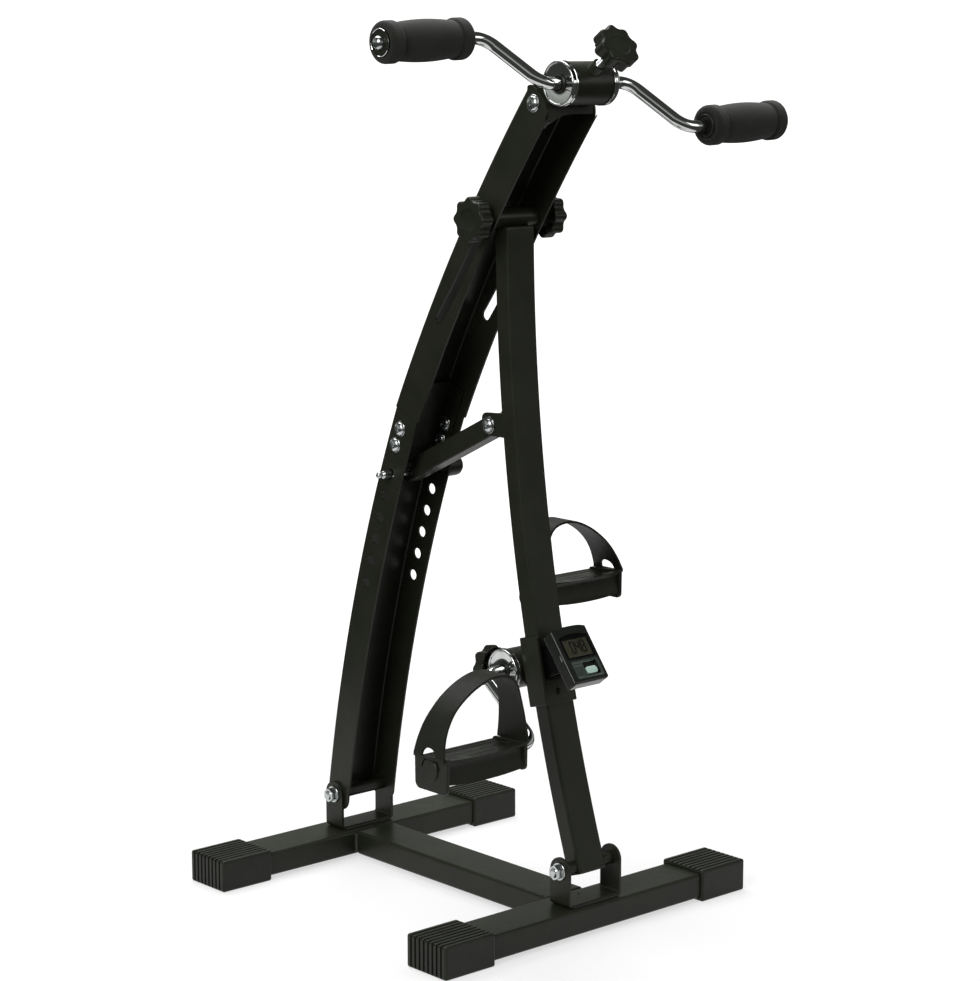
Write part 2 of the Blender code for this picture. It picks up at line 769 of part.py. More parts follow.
def grip_ends(side):
    """The inner and outer end of a grip, whose axis leans a little towards the crank's axis."""
    inner = GRIP_INNER[side > 0]
    throw_y, throw_z = ARM_CRANK_THROW
    toe = 0.0035
    y, z = ARM_HUB[0] - side * throw_y, ARM_HUB[1] - side * throw_z
    start = Vector((side * inner, y, z))
    end = Vector((side * (inner + GRIP_LENGTH), y, z + side * toe))
    return start, start + (end - start).normalized() * GRIP_LENGTH


def arm_crank_corners():
    """The Z of the arm crank, from the end of the left grip to the end of the right one."""
    near, far = 0.0555, 0.0920
    corners = []
    for side in (-1, 1):
        start, end = grip_ends(side)
        along = (end - start).normalized()
        elbow = start + along * (ARM_CRANK_SHIFT + side * far - start.x) / along.x
        shoulder = Vector((ARM_CRANK_SHIFT + side * near, *ARM_HUB))
        corners.append([end, elbow, shoulder])
    return corners[0] + corners[1][::-1]


def arm_crank_rod():
    rod_shape = bent_rod(arm_crank_corners(), CRANK_RADIUS, 0.0240)
    return piece(rod_shape, "arm_crank_rod", "chrome", "arm_crank")


def grip(name, side, parent):
    """A foam grip with a collar at each end and a barrel between them."""
    start, end = grip_ends(side)
    bore, collar, waist, barrel = CRANK_RADIUS + GAP, 0.0193, 0.0172, 0.0192
    length = GRIP_LENGTH
    profile = [
        (bore, length),
        (collar - 0.003, length),
        (collar, length - 0.003),
        (collar, length - 0.014),
        (waist, length - 0.017),
        (barrel, length * 0.60),
    ]
    profile += [(radius, length - height) for radius, height in profile[:0:-1]]
    profile += [(bore, 0), (bore, length)]
    shape = turned_shape(profile, start, end - start, 12)
    return piece(shape, name, "foam", parent)


def grip_cap(name, side, parent):
    """The bright end cap that holds a grip on the rod."""
    start, end = grip_ends(side)
    along = (end - start).normalized()
    profile = [
        (0, 0.0072),
        (0.0046, 0.0066),
        (0.0060, 0.0045),
        (0.0060, 0.0020),
        (0.0115, 0.0016),
        (0.0120, 0.0008),
        (0.0120, 0),
        (0, 0),
    ]
    return piece(turned_shape(profile, end + along * GAP, along, 14), name, "chrome", parent)


# Star knobs and their studs

def star_outline():
    """An outline with round lobes, one wave for each."""
    middle, wave, points = 0.0212, 0.0014, KNOB_LOBES * 3
    angles = [2 * pi * step / points for step in range(points)]
    return [
        ((middle + wave * cos(KNOB_LOBES * a)) * cos(a), (middle + wave * cos(KNOB_LOBES * a)) * sin(a))
        for a in angles
    ]


def star_knob(name, seat, direction, parent, boss):
    """A star knob whose boss faces the seat. Direction points away from what it clamps."""
    turn = Vector(direction).to_track_quat("Z", "Y").to_matrix().to_4x4()
    frame = Matrix.Translation(seat) @ turn
    head = plate(star_outline(), boss, boss + KNOB_THICKNESS, frame)
    neck = rod((0, 0, 0), (0, 0, boss + 0.002), 0.0125, 14, 0.0140)
    neck.matrix_basis = frame @ neck.matrix_basis
    hole = rod((0, 0, -0.01), (0, 0, boss + KNOB_THICKNESS - 0.004), BOLT_RADIUS + GAP, 12)
    hole.matrix_basis = frame @ hole.matrix_basis
    dish = rod((0, 0, boss + KNOB_THICKNESS - 0.0012), (0, 0, 0.04), 0.0110, 16)
    dish.matrix_basis = frame @ dish.matrix_basis
    return piece(smooth(cut(join(head, neck), hole, dish)), name, "black_plastic", parent)


def knob_stud(name, tip, end, parent):
    """The threaded stud that a star knob is moulded on."""
    tip, end = Vector(tip), Vector(end)
    point = tip + (end - tip).normalized() * 0.0015
    stud = rod(point, end, BOLT_RADIUS, 16)
    join(stud, rod(tip, point + (end - tip) * 0.01, BOLT_RADIUS - 0.0012, 16, BOLT_RADIUS))
    return piece(stud, name, "zinc", parent)


def tension_knob(prefix, hub, degrees, reach, parent):
    """A star knob on a stud that presses on a hub's bush to brake the crank."""
    heading = (0, cos(radians(degrees)), sin(radians(degrees)))
    seat = step_along(hub, degrees, reach - KNOB_THICKNESS / 2 - TENSION_BOSS)
    tip = step_along(hub, degrees, 0.0130)
    end = step_along(hub, degrees, reach + KNOB_THICKNESS / 2 - 0.0050)
    carrier(prefix + "_stud_slide", (0, *seat), parent)
    carrier(prefix + "_knob_turn", (0, *seat), prefix + "_stud_slide")
    knob_stud(prefix + "_stud", (0, *tip), (0, *end), prefix + "_stud_slide")
    star_knob(prefix + "_knob", (0, *seat), heading, prefix + "_knob_turn", TENSION_BOSS)


def clamp_knob(prefix, side):
    """A star knob on a stud in the clamp sleeve, which locks the slotted column."""
    seat = (side * (CHANNEL_HALF + GAP), *CLAMP)
    reach = CHANNEL_HALF + CLAMP_BOSS + KNOB_THICKNESS - 0.0050
    carrier(prefix + "_stud_slide", seat, "strut")
    carrier(prefix + "_knob_turn", seat, prefix + "_stud_slide")
    knob_stud(prefix + "_stud", (side * 0.006, *CLAMP), (side * reach, *CLAMP), prefix + "_stud_slide")
    star_knob(prefix + "_knob", seat, (side, 0, 0), prefix + "_knob_turn", CLAMP_BOSS)


# Strut

def strut_tube():
    half = STRUT_DEPTH / 2
    low, high = -19.02, -0.352
    body = plate(arc_band(STRUT_ARC, low, high, -half, half, 10), -STRUT_HALF, STRUT_HALF)
    soften(body, 0.0020, 1)
    inside = plate(
        arc_band(STRUT_ARC, low - 2, high + 2, -half + TUBE_WALL, half - TUBE_WALL, 10),
        -STRUT_HALF + TUBE_WALL,
        STRUT_HALF - TUBE_WALL,
    )
    cut(body, inside)
    reach = BRACKET_HALF - BRACKET_PLATE - GAP
    join(body, cross_rod(STRUT_PIVOT, -reach, reach, 0.0064))
    cut(body, cross_rod(STRUT_PIVOT, -0.05, 0.05, BOLT_HOLE))
    cut(body, cross_rod(CLAMP, -0.05, 0.05, CLAMP_SLEEVE_RADIUS + GAP))
    return piece(body, "strut_tube", "black_steel", "strut")


def clamp_sleeve():
    reach = CHANNEL_HALF - CHANNEL_WALL - 2 * GAP
    sleeve = cross_rod(CLAMP, -reach, reach, CLAMP_SLEEVE_RADIUS)
    cut(sleeve, cross_rod(CLAMP, -0.05, 0.05, BOLT_HOLE))
    return piece(sleeve, "clamp_sleeve", "black_steel", "strut")


def brace_bracket():
    """The clevis welded to the back of the strut."""
    inside = BRACE_HALF + 0.0006
    outside = inside + 0.0030
    back = strut_y(BRACE_PIVOT[1]) + STRUT_DEPTH / 2 + GAP
    low, high = BRACE_PIVOT[1] - 0.0105, BRACE_PIVOT[1] + 0.0125
    sheet = [(outside, BRACE_PIVOT[0] + 0.02), (-outside, BRACE_PIVOT[0] + 0.02)]
    sheet += [(-outside, back), (outside, back)]
    body = plate(sheet, low - 0.01, high + 0.01, PLAN_VIEW)
    room = block((-inside, back + 0.0030, low - 0.02), (inside, 0.1, high + 0.02))
    cut(body, room)
    low_back = strut_y(low) + STRUT_DEPTH / 2 + GAP
    high_back = strut_y(high) + STRUT_DEPTH / 2 + GAP
    rear = BRACE_PIVOT[0] + 0.0105
    side = [(low_back, low), (rear, low), (rear, high - 0.001), (high_back, high + 0.001)]
    side = round_corner(side, 2, 0.006, 5)
    side = round_corner(side, 1, 0.005, 4)
    keep_common(body, plate(side, -0.05, 0.05))
    cut(body, cross_rod(BRACE_PIVOT, -0.05, 0.05, BOLT_HOLE, 16))
    return piece(body, "brace_bracket", "black_steel", "strut")


def strut_y(z):
    """Y of the strut's centreline at a height."""
    rise = z - STRUT_ARC[1]
    return STRUT_ARC[0] + (STRUT_ARC[2] ** 2 - rise ** 2) ** 0.5


def brace_bolt():
    outside = BRACE_HALF + 0.0039
    bolt = cross_rod(BRACE_PIVOT, -outside - 0.001, outside + 0.006, BOLT_RADIUS, 16)
    dome = [(0, 0.0046), (0.0040, 0.0042), (0.0072, 0.0026), (0.0090, 0), (0, 0)]
    head = turned_shape(dome, (-outside, *BRACE_PIVOT), (-1, 0, 0), 12)
    nut = cross_rod(BRACE_PIVOT, outside, outside + 0.0055, 0.0075, 6)
    return piece(join(bolt, head, nut), "brace_bolt", "zinc", "strut")


def brace_bar():
    """The square tube from the clevis to the lock pin, open at the pin where it is set over it."""
    pin = pin_hole(0)
    length = hypot(pin[0] - BRACE_PIVOT[0], pin[1] - BRACE_PIVOT[1])
    angle = atan2(pin[1] - BRACE_PIVOT[1], pin[0] - BRACE_PIVOT[0])
    frame = Matrix.Translation((0, *BRACE_PIVOT)) @ Matrix.Rotation(angle, 4, "X")
    end = 0.0110
    outline = [(-end, -BRACE_HALF), (length + end, -BRACE_HALF)]
    outline += [(length + end, BRACE_HALF), (-end, BRACE_HALF)]
    for index in (3, 2, 1, 0):
        outline = round_corner(outline, index, 0.0085, 3)
    body = plate(outline, -BRACE_HALF, BRACE_HALF, frame @ SIDE_VIEW)
    inner = BRACE_HALF - TUBE_WALL
    inside = block((-inner, -0.05, -inner), (inner, length + 0.05, inner), frame)
    across = pin_slot(length, frame)
    cut(body, inside, across)
    cut(body, cross_rod(BRACE_PIVOT, -0.05, 0.05, BOLT_HOLE, 16))
    return piece(body, "brace_bar", "black_steel", "brace")


def pin_slot(length, frame):
    """The open slot that lets the tube's end leave the pin, up and towards the clevis."""
    width, heading = 0.0096, radians(136)
    centre = (length, 0.0)
    far = (centre[0] + 0.03 * cos(heading), centre[1] + 0.03 * sin(heading))
    return plate(slot_outline([centre, far], width), -0.05, 0.05, frame @ SIDE_VIEW)


# Foot crank, pedals and their hub's bracket

def pedal_hub_bracket():
    """A collar round the strut that carries the foot hub, with a short web in front."""
    low, high, web_top, wall = -14.10, -12.10, 0.2430, 0.0025
    inside = STRUT_HALF + GAP
    half = STRUT_DEPTH / 2 + GAP
    band = arc_band(STRUT_ARC, low, high, -half - wall, half + wall, 4)
    body = plate(band, -inside - wall - 0.0010, inside + 0.0012)
    soften(body, 0.0010, 1)
    cut(body, plate(arc_band(STRUT_ARC, low - 2, high + 2, -half, half, 6), -inside, inside))
    middle = strut_y(web_top)
    window = block((-inside + 0.001, middle - 0.04, web_top), (inside - 0.001, middle, 0.30))
    cut(body, window)
    cut(body, cross_rod(FOOT_HUB, -0.05, 0.05, RING_RADIUS + 2 * GAP, 20))
    saddle = [(strut_y(z) + half + wall - 0.001, z) for z in (0.232, 0.262)]
    saddle = plate(saddle + [(FOOT_HUB[0], 0.262), (FOOT_HUB[0], 0.232)], -0.0120, 0.0120)
    cut(saddle, cross_rod(FOOT_HUB, -0.05, 0.05, HUB_RADIUS + GAP, 20))
    join(body, saddle)
    hole_x, hole_z = -0.0040, 0.2315
    front_hole = rod((hole_x, middle - 0.04, hole_z), (hole_x, middle, hole_z), 0.0034, 12)
    cut(body, front_hole)
    return piece(body, "pedal_hub_bracket", "black_steel", "strut")


def foot_crank_corners():
    throw_y, throw_z = FOOT_CRANK_THROW
    near, left_elbow, right_elbow = 0.0535, 0.0565, 0.0630
    left = (FOOT_HUB[0] + throw_y, FOOT_HUB[1] + throw_z)
    right = (FOOT_HUB[0] - throw_y, FOOT_HUB[1] - throw_z)
    end = PEDAL_MIDDLE + PEDAL_HALF - 0.0065
    return [
        (-end, *left),
        (-left_elbow, *left),
        (-near, *FOOT_HUB),
        (near, *FOOT_HUB),
        (right_elbow, *right),
        (end, *right),
    ]


def foot_crank_rod():
    rod_shape = bent_rod(foot_crank_corners(), CRANK_RADIUS, 0.0150)
    return piece(rod_shape, "foot_crank_rod", "chrome", "foot_crank")


def pedal_axle(side):
    throw_y, throw_z = FOOT_CRANK_THROW
    return (FOOT_HUB[0] - side * throw_y, FOOT_HUB[1] - side * throw_z)


def pedal_body(name, side, parent):
    """A sagging foot plate with a deep skirt, hollow underneath, and a taller plate at each end."""
    y, z = pedal_axle(side)
    half = 0.0225
    inner, outer = PEDAL_MIDDLE - PEDAL_HALF, PEDAL_MIDDLE + PEDAL_HALF
    tread = [
        (y - half, z + 0.0105),
        (y - half + 0.0035, z + 0.0020),
        (y - half + 0.0008, z - 0.0165),
        (y + half - 0.0030, z - 0.0165),
        (y + half, z + 0.0060),
        (y + half * 0.5, z + 0.0050),
        (y - half * 0.5, z + 0.0075),
    ]
    body = plate(tread, side * (inner + 0.001), side * (outer - 0.001))
    keep_common(body, plate(pedal_sag(side, z), -y - 0.05, -y + 0.05, FRONT_VIEW))
    ends = sorted((side * (inner + 0.005), side * (outer - 0.0065)))
    cut(body, block((ends[0], y - half + 0.0070, z - 0.03), (ends[1], y + half - 0.0070, z - 0.0085)))
    inner_foot, outer_foot = ((0.0170, 0.0235), (0.0193, 0.0193))[side > 0]
    join(body, pedal_end(y, z - inner_foot, z, side * inner, side * (inner + 0.0040)))
    join(body, pedal_end(y, z - outer_foot, z, side * (outer - 0.0040), side * outer))
    cut(body, cross_rod((y, z), side * (inner - 0.01), side * (outer - 0.0060), CRANK_RADIUS + GAP, 16))
    join(body, cross_rod((y, z - 0.0030), side * (outer - 0.001), side * (outer + 0.0015), 0.0105, 16))
    return piece(smooth(body), name, "black_plastic", parent)


def pedal_sag(side, z):
    """The pedal from the front: its top and bottom edges sag a little between the end plates."""
    steps, sag, top, bottom = 6, 0.0030, 0.0105, -0.0135
    upper, lower = [], []
    for step in range(steps + 1):
        share = 2 * step / steps - 1
        x = side * PEDAL_MIDDLE + share * PEDAL_HALF
        drop = sag * (1 - share * share)
        upper.append((x, z + top - drop))
        lower.append((x, z + bottom - drop))
    return lower + upper[::-1]


def pedal_end(y, bottom, z, start, end):
    """The shield-shaped plate at one end of a pedal."""
    outline = [
        (y - 0.0230, z + 0.0110),
        (y - 0.0225, bottom),
        (y + 0.0225, bottom),
        (y + 0.0230, z + 0.0080),
    ]
    outline = round_corner(outline, 2, 0.0070, 3)
    outline = round_corner(outline, 1, 0.0050, 3)
    return plate(outline, start, end)


def strap_outline(side, steps=12):
    """The arch of a toe strap seen from the front, straighter outside and full inside."""
    z = pedal_axle(side)[1]
    half, wall, lean = PEDAL_HALF + 2 * GAP, 0.0024, 0.0180
    height, slope = STRAP_HEIGHT[side > 0], STRAP_SLOPE[side > 0]
    foot, spring = z + 0.0080, z + 0.0110
    outside, inside = [], []
    for step in range(steps + 1):
        angle = pi * step / steps
        rise = abs(sin(angle)) ** 0.90
        across = cos(angle)
        if across * side > 0:
            across = (1 - slope) * across + slope * side * (1 - rise)
        else:
            across = -side * abs(across) ** 0.82
        shift = side * PEDAL_MIDDLE - side * lean * rise ** 3
        outside.append((shift + across * (half + wall), spring + rise * height))
        inside.append((shift + across * half, spring + rise * (height - wall)))
    outside = [(outside[0][0], foot), *outside, (outside[-1][0], foot)]
    inside = [(inside[0][0], foot), *inside, (inside[-1][0], foot)]
    return outside + inside[::-1]


def pedal_strap(name, side, parent):
    """A toe strap: wide feet, the outer one with a window, and a narrower band between them."""
    y, z = pedal_axle(side)
    arch = plate(strap_outline(side), -y - 0.0215, -y + 0.0215, FRONT_VIEW)
    edge = [(0.0210, 0), (0.0210, 0.0110), (0.0180, 0.0300), (0.0152, 0.0520), (0.0145, 0.1200)]
    taper = [(y + out, z + up) for out, up in edge] + [(y - out, z + up) for out, up in edge[::-1]]
    keep_common(arch, plate(taper, -0.25, 0.25))
    rise = [(0.0096, 0.0098), (0.0092, 0.0142), (0.0055, 0.0176)]
    window = [(y + out, z + up) for out, up in rise] + [(y, z + 0.0186)]
    window += [(y - out, z + up) for out, up in rise[::-1]]
    cut(arch, plate(window, side * 0.15, side * 0.25))
    return piece(smooth(arch, 50), name, "strap_rubber", parent)


# Counter

def counter_frame():
    """Frame of the counter: x across, y up its face, z out of its face."""
    rise = Vector((0, COUNTER_TOP[0] - COUNTER_BOTTOM[0], COUNTER_TOP[1] - COUNTER_BOTTOM[1])).normalized()
    across = Vector((1, 0, 0))
    out = across.cross(rise)
    middle = Vector((0, (COUNTER_TOP[0] + COUNTER_BOTTOM[0]) / 2, (COUNTER_TOP[1] + COUNTER_BOTTOM[1]) / 2))
    return Matrix.Translation(middle) @ Matrix((across, rise, out)).transposed().to_4x4()


def counter():
    frame = counter_frame()
    half_long = hypot(COUNTER_TOP[0] - COUNTER_BOTTOM[0], COUNTER_TOP[1] - COUNTER_BOTTOM[1]) / 2
    case = block((-COUNTER_HALF, -half_long, -COUNTER_DEPTH), (COUNTER_HALF, half_long, 0), frame)
    soften(case, 0.0018, 1)
    keep_common(case, plate(counter_outline(half_long), -COUNTER_DEPTH - 0.01, 0.01, frame))
    recess = block((-0.0160, -0.0032, -0.0016), (0.0166, 0.0160, 0.01), frame)
    well = block((-0.0030, -0.0233, -0.0034), (0.0150, -0.0108, 0.01), frame)
    cut(case, recess, well)
    piece(case, "counter_case", "counter_plastic", "strut")
    glass = block(
        (-0.0160 + GAP, -0.0032 + GAP, -0.0016 + GAP),
        (0.0166 - GAP, 0.0160 - GAP, -0.0002),
        frame,
    )
    piece(glass, "counter_window", "display_glass", "strut")
    key = [(-0.0018, -0.0224), (0.0120, -0.0224), (0.0120, -0.0150), (-0.0018, -0.0150)]
    for index in (3, 2, 1, 0):
        key = round_corner(key, index, 0.0028, 3)
    carrier("counter_button_press", frame @ Vector((0.0051, -0.0187, -0.0020)), "strut")
    piece(plate(key, -0.0020, 0.0006, frame), "counter_button", "button_mint", "counter_button_press")
    counter_bracket(frame, half_long)


def counter_outline(half_long):
    """The counter's face: a crowned top edge and rounded corners."""
    half = COUNTER_HALF + 0.0001
    outline = [(-half, -half_long - 0.0001), (half, -half_long - 0.0001), (half, half_long - 0.0035)]
    outline += [(half * 0.62, half_long - 0.0012), (0, half_long + 0.0001)]
    outline += [(-half * 0.62, half_long - 0.0012), (-half, half_long - 0.0035)]
    for index in (6, 2, 1, 0):
        outline = round_corner(outline, index, 0.0020, 2)
    return outline


def counter_bracket(frame, half_long):
    """The block, as wide as the strut, that holds the counter off the front of the strut."""
    top = frame @ Vector((0, half_long * 0.62, -COUNTER_DEPTH - GAP))
    bottom = frame @ Vector((0, -half_long * 0.34, -COUNTER_DEPTH - GAP))
    reach = STRUT_DEPTH / 2 + 2 * GAP
    low = 0.2440
    outline = [(top.y, top.z), (bottom.y, bottom.z)]
    outline += [(strut_y(z) - reach, z) for z in (low, 0.5 * (low + 0.2760), 0.2760)]
    wedge = plate(outline, -0.0160, 0.0160)
    soften(wedge, 0.0010, 1)
    piece(wedge, "counter_bracket", "counter_plastic", "strut")


def lock_pin():
    """The pull pin through the column and the brace, with a round knob on the right."""
    place = pin_hole(0)
    left = -0.0500
    bar = cross_rod(place, left + 0.003, 0.0480, BOLT_RADIUS, 16)
    tip = rod((left, *place), (left + 0.0031, *place), BOLT_RADIUS - 0.0015, 16, BOLT_RADIUS)
    knob = [
        (0, 0.0270),
        (0.0075, 0.0262),
        (0.0102, 0.0235),
        (0.0108, 0.0200),
        (0.0108, 0.0060),
        (0.0095, 0.0040),
        (0.0095, 0),
        (0, 0),
    ]
    handle = turned_shape(knob, (CHANNEL_HALF + 3 * GAP, *place), (1, 0, 0), 12)
    return piece(join(bar, tip, handle), "lock_pin", "black_plastic", "lock_pin_pull")


# Assembly

def build_base():
    for name, y in (("front_bar", -BAR_Y), ("rear_bar", BAR_Y)):
        floor_bar(name, y)
    centre_tube()
    for end, y in (("front", -BAR_Y), ("rear", BAR_Y)):
        for hand, side in (("left", -1), ("right", 1)):
            end_cap(f"cap_{end}_{hand}", side, y)
    pivot_bracket("front_bracket", STRUT_PIVOT)
    pivot_bracket("rear_bracket", COLUMN_PIVOT)
    pivot_bolt("front_pivot_bolt", STRUT_PIVOT)
    pivot_bolt("rear_pivot_bolt", COLUMN_PIVOT)


def build_column():
    lower_column()
    upper_column()
    column_joiner()
    for level, place in zip(("upper", "lower"), COLUMN_BOLTS):
        for hand, side in (("left", -1), ("right", 1)):
            column_bolt(f"column_bolt_{level}_{hand}", side, place)
    arm_hub_bracket()
    arm_bracket_bolt()
    lock_pin()


def build_hub(prefix, hub, knob_degrees, parent):
    hub_shell(prefix + "_hub_shell", hub, knob_degrees, parent)
    for hand, side in (("left", -1), ("right", 1)):
        hub_ring(f"{prefix}_hub_ring_{hand}", hub, side, parent)
        hub_bush(f"{prefix}_hub_bush_{hand}", hub, side, parent)


def build_arm_crank():
    arm_crank_rod()
    for hand, side in (("left", -1), ("right", 1)):
        grip(f"grip_{hand}", side, f"grip_{hand}_turn")
        grip_cap(f"grip_cap_{hand}", side, "arm_crank")
    tension_knob("arm_tension", ARM_HUB, ARM_KNOB_DEGREES, ARM_KNOB_REACH, "column")


def build_strut():
    strut_tube()
    clamp_sleeve()
    brace_bracket()
    brace_bolt()
    brace_bar()
    pedal_hub_bracket()
    counter()
    clamp_knob("clamp_left", -1)
    clamp_knob("clamp_right", 1)


def build_foot_crank():
    foot_crank_rod()
    for hand, side in (("left", -1), ("right", 1)):
        pedal_body(f"pedal_{hand}", side, f"pedal_{hand}_turn")
        pedal_strap(f"pedal_strap_{hand}", side, f"pedal_{hand}_turn")
    tension_knob("foot_tension", FOOT_HUB, FOOT_KNOB_DEGREES, FOOT_KNOB_REACH, "strut")


def place_carriers():
    carrier("base", (0, 0, 0))
    carrier("column", (0, *COLUMN_PIVOT), "base")
    carrier("strut", (0, *STRUT_PIVOT), "base")
    carrier("brace", (0, *BRACE_PIVOT), "strut")
    carrier("lock_pin_pull", (0, *pin_hole(0)), "column")
    carrier("arm_crank", (0, *ARM_HUB), "column")
    carrier("foot_crank", (0, *FOOT_HUB), "strut")
    for hand, side in (("left", -1), ("right", 1)):
        carrier(f"grip_{hand}_turn", grip_ends(side)[0], "arm_crank")
        carrier(f"pedal_{hand}_turn", (side * PEDAL_MIDDLE, *pedal_axle(side)), "foot_crank")


place_carriers()
build_base()
build_column()
build_hub("arm", ARM_HUB, ARM_KNOB_DEGREES, "column")
build_arm_crank()
build_strut()
build_hub("foot", FOOT_HUB, FOOT_KNOB_DEGREES, "strut")
build_foot_crank()
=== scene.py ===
"""Looks of the dual exercise bike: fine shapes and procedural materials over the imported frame.

Metres, +Z up. Shapes are made in the machine's own frame, whose middle is the middle of the base,
and are moved by SHIFT when they are finished, as the CAD solids were.
"""

from math import atan2, cos, hypot, pi, radians, sin

import bmesh
import bpy
from mathutils import Matrix, Vector


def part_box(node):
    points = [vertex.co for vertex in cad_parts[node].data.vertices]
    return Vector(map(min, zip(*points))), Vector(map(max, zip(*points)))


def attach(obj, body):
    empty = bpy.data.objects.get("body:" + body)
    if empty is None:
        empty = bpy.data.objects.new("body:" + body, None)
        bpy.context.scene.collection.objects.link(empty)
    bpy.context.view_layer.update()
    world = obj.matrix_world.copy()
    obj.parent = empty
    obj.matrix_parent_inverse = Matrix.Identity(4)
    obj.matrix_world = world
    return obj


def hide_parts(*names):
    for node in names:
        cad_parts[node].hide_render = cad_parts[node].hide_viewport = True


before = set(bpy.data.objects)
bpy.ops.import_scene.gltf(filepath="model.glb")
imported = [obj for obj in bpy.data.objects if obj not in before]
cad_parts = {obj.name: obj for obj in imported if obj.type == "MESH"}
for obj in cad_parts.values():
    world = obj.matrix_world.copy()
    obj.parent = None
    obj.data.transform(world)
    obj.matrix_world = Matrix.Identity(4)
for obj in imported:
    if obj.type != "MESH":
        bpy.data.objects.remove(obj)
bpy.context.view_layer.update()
low_corner, high_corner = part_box("centre_tube")
SHIFT = Vector(((low_corner.x + high_corner.x) / 2, (low_corner.y + high_corner.y) / 2, 0))

# The gap between two pieces, and half the length of a cutter: through one, or past both pedals
GAP = 0.0003
THROUGH = 0.05
PAST_PEDALS = 0.25
HANDS = (("left", -1), ("right", 1))
LEFT, RIGHT = (-1, 0, 0), (1, 0, 0)

# Base: two floor bars joined by a centre tube, with a plastic cap on each end
BASE_LENGTH = 0.403
BAR_Y = 0.1724
TUBE_WIDTH = 0.050
TUBE_HEIGHT = 0.025
TUBE_WALL = 0.0015
CAP_LENGTH = 0.0619
CAP_WIDTH = 0.0564
CAP_HEIGHT = 0.0327
CAP_WALL = 0.0032
CAP_GROOVES = 8

# The two pivots at the floor bars, each in a bent U bracket. A place on the machine is (y, z)
STRUT_PIVOT = (-0.1765, 0.0645)
COLUMN_PIVOT = (0.1724, 0.0660)
STRUT_PIVOT_TUBE = 0.0064
COLUMN_PIVOT_TUBE = 0.0062
BRACKET_HALF = 0.0353
BRACKET_PLATE = 0.0030
EAR_RADIUS = 0.0135
BOLT_RADIUS = 0.0040
BOLT_HOLE = 0.0043

# Column: two curved channels, open at the front
# An arc is (y, z) of its centre and the radius of the channel's centreline
LOWER_ARC = (-1.6119, -0.2015, 1.8020)
UPPER_ARC = (-1.5761, -0.2968, 1.8076)
LOWER_DEPTH = 0.0358
UPPER_DEPTH = 0.0393
CHANNEL_HALF = 0.0320
CHANNEL_WALL = 0.0020
SEAM_DEGREES = 22.4
COLUMN_BOLTS = ((0.0632, 0.4694), (0.0709, 0.4523))
COLUMN_BOLT_HOLE = 0.0033
TOP_BOLT = (-0.1330, 0.7970)
PIN_HOLE_DEGREES = 20.23
PIN_HOLE_PITCH = 0.025
PIN_HOLES = 6
PIN_HOLE_RADIUS = 0.0056

# Strut: a curved rectangular tube from the front pivot to the clamp axis in the column
STRUT_ARC = (-2.0193, 0.6912, 1.9471)
STRUT_HALF = 0.01775
STRUT_DEPTH = 0.0195
CLAMP = (-0.0665, 0.6865)
CLAMP_SLEEVE_RADIUS = 0.0100
BRACE_PIVOT = (-0.0500, 0.4837)
BRACE_HALF = 0.0100

# Tilt: how far the column leans back, and how far the strut turns with it
TILT_DEGREES = 14.8
STRUT_RATIO = 1.36
SLOT_WIDTH = 0.0104

# Hubs of the two cranks, of the same size
ARM_HUB = (-0.1635, 0.8156)
FOOT_HUB = (-0.0875, 0.2465)
HUB_HALF = 0.0303
HUB_RADIUS = 0.02025
RING_RADIUS = 0.02125
RING_WIDTH = 0.0070
CRANK_RADIUS = 0.0060
ARM_CRANK_THROW = (0.0400, 0.0408)
ARM_CRANK_SHIFT = 0.0060
FOOT_CRANK_THROW = (-0.0745, -0.0530)
GRIP_LENGTH = 0.098

# Pairs of numbers that differ between the two sides are (left, right)
GRIP_INNER = (0.110, 0.1265)
PEDAL_MIDDLE = 0.1355
PEDAL_HALF = 0.0505
PEDAL_HALF_DEPTH = 0.0225
PEDAL_PLATE = 0.0040
STRAP_HEIGHT = (0.0670, 0.0590)
STRAP_SLOPE = (0.20, 0.43)

# Star knobs: how far out they sit, and at what angle on the hubs
KNOB_THICKNESS = 0.0145
KNOB_LOBES = 8
TENSION_BOSS = 0.0055
CLAMP_BOSS = 0.0085
ARM_KNOB_DEGREES = 145.0
FOOT_KNOB_DEGREES = -11.0
ARM_KNOB_REACH = 0.0572
FOOT_KNOB_REACH = 0.0485

# Counter on the front of the strut. A rectangle on its face is (left, foot, right, top)
COUNTER_TOP = (-0.1479, 0.2970)
COUNTER_BOTTOM = (-0.1847, 0.2491)
COUNTER_HALF = 0.0230
COUNTER_DEPTH = 0.0145
COUNTER_WINDOW = (-0.0160, -0.0032, 0.0166, 0.0160)
COUNTER_WELL = (-0.0032, -0.0238, 0.0152, -0.0086)

# Seven-segment bars as (x, y) of both ends in a cell of width and height one
SEGMENTS = {
    "top": (0, 1, 1, 1), "middle": (0, 0.5, 1, 0.5), "foot": (0, 0, 1, 0),
    "upper_left": (0, 0.5, 0, 1), "upper_right": (1, 0.5, 1, 1),
    "lower_left": (0, 0, 0, 0.5), "lower_right": (1, 0, 1, 0.5),
}
UNLIT = {"0": ("middle",), "4": ("top", "foot", "lower_left"), "8": ()}

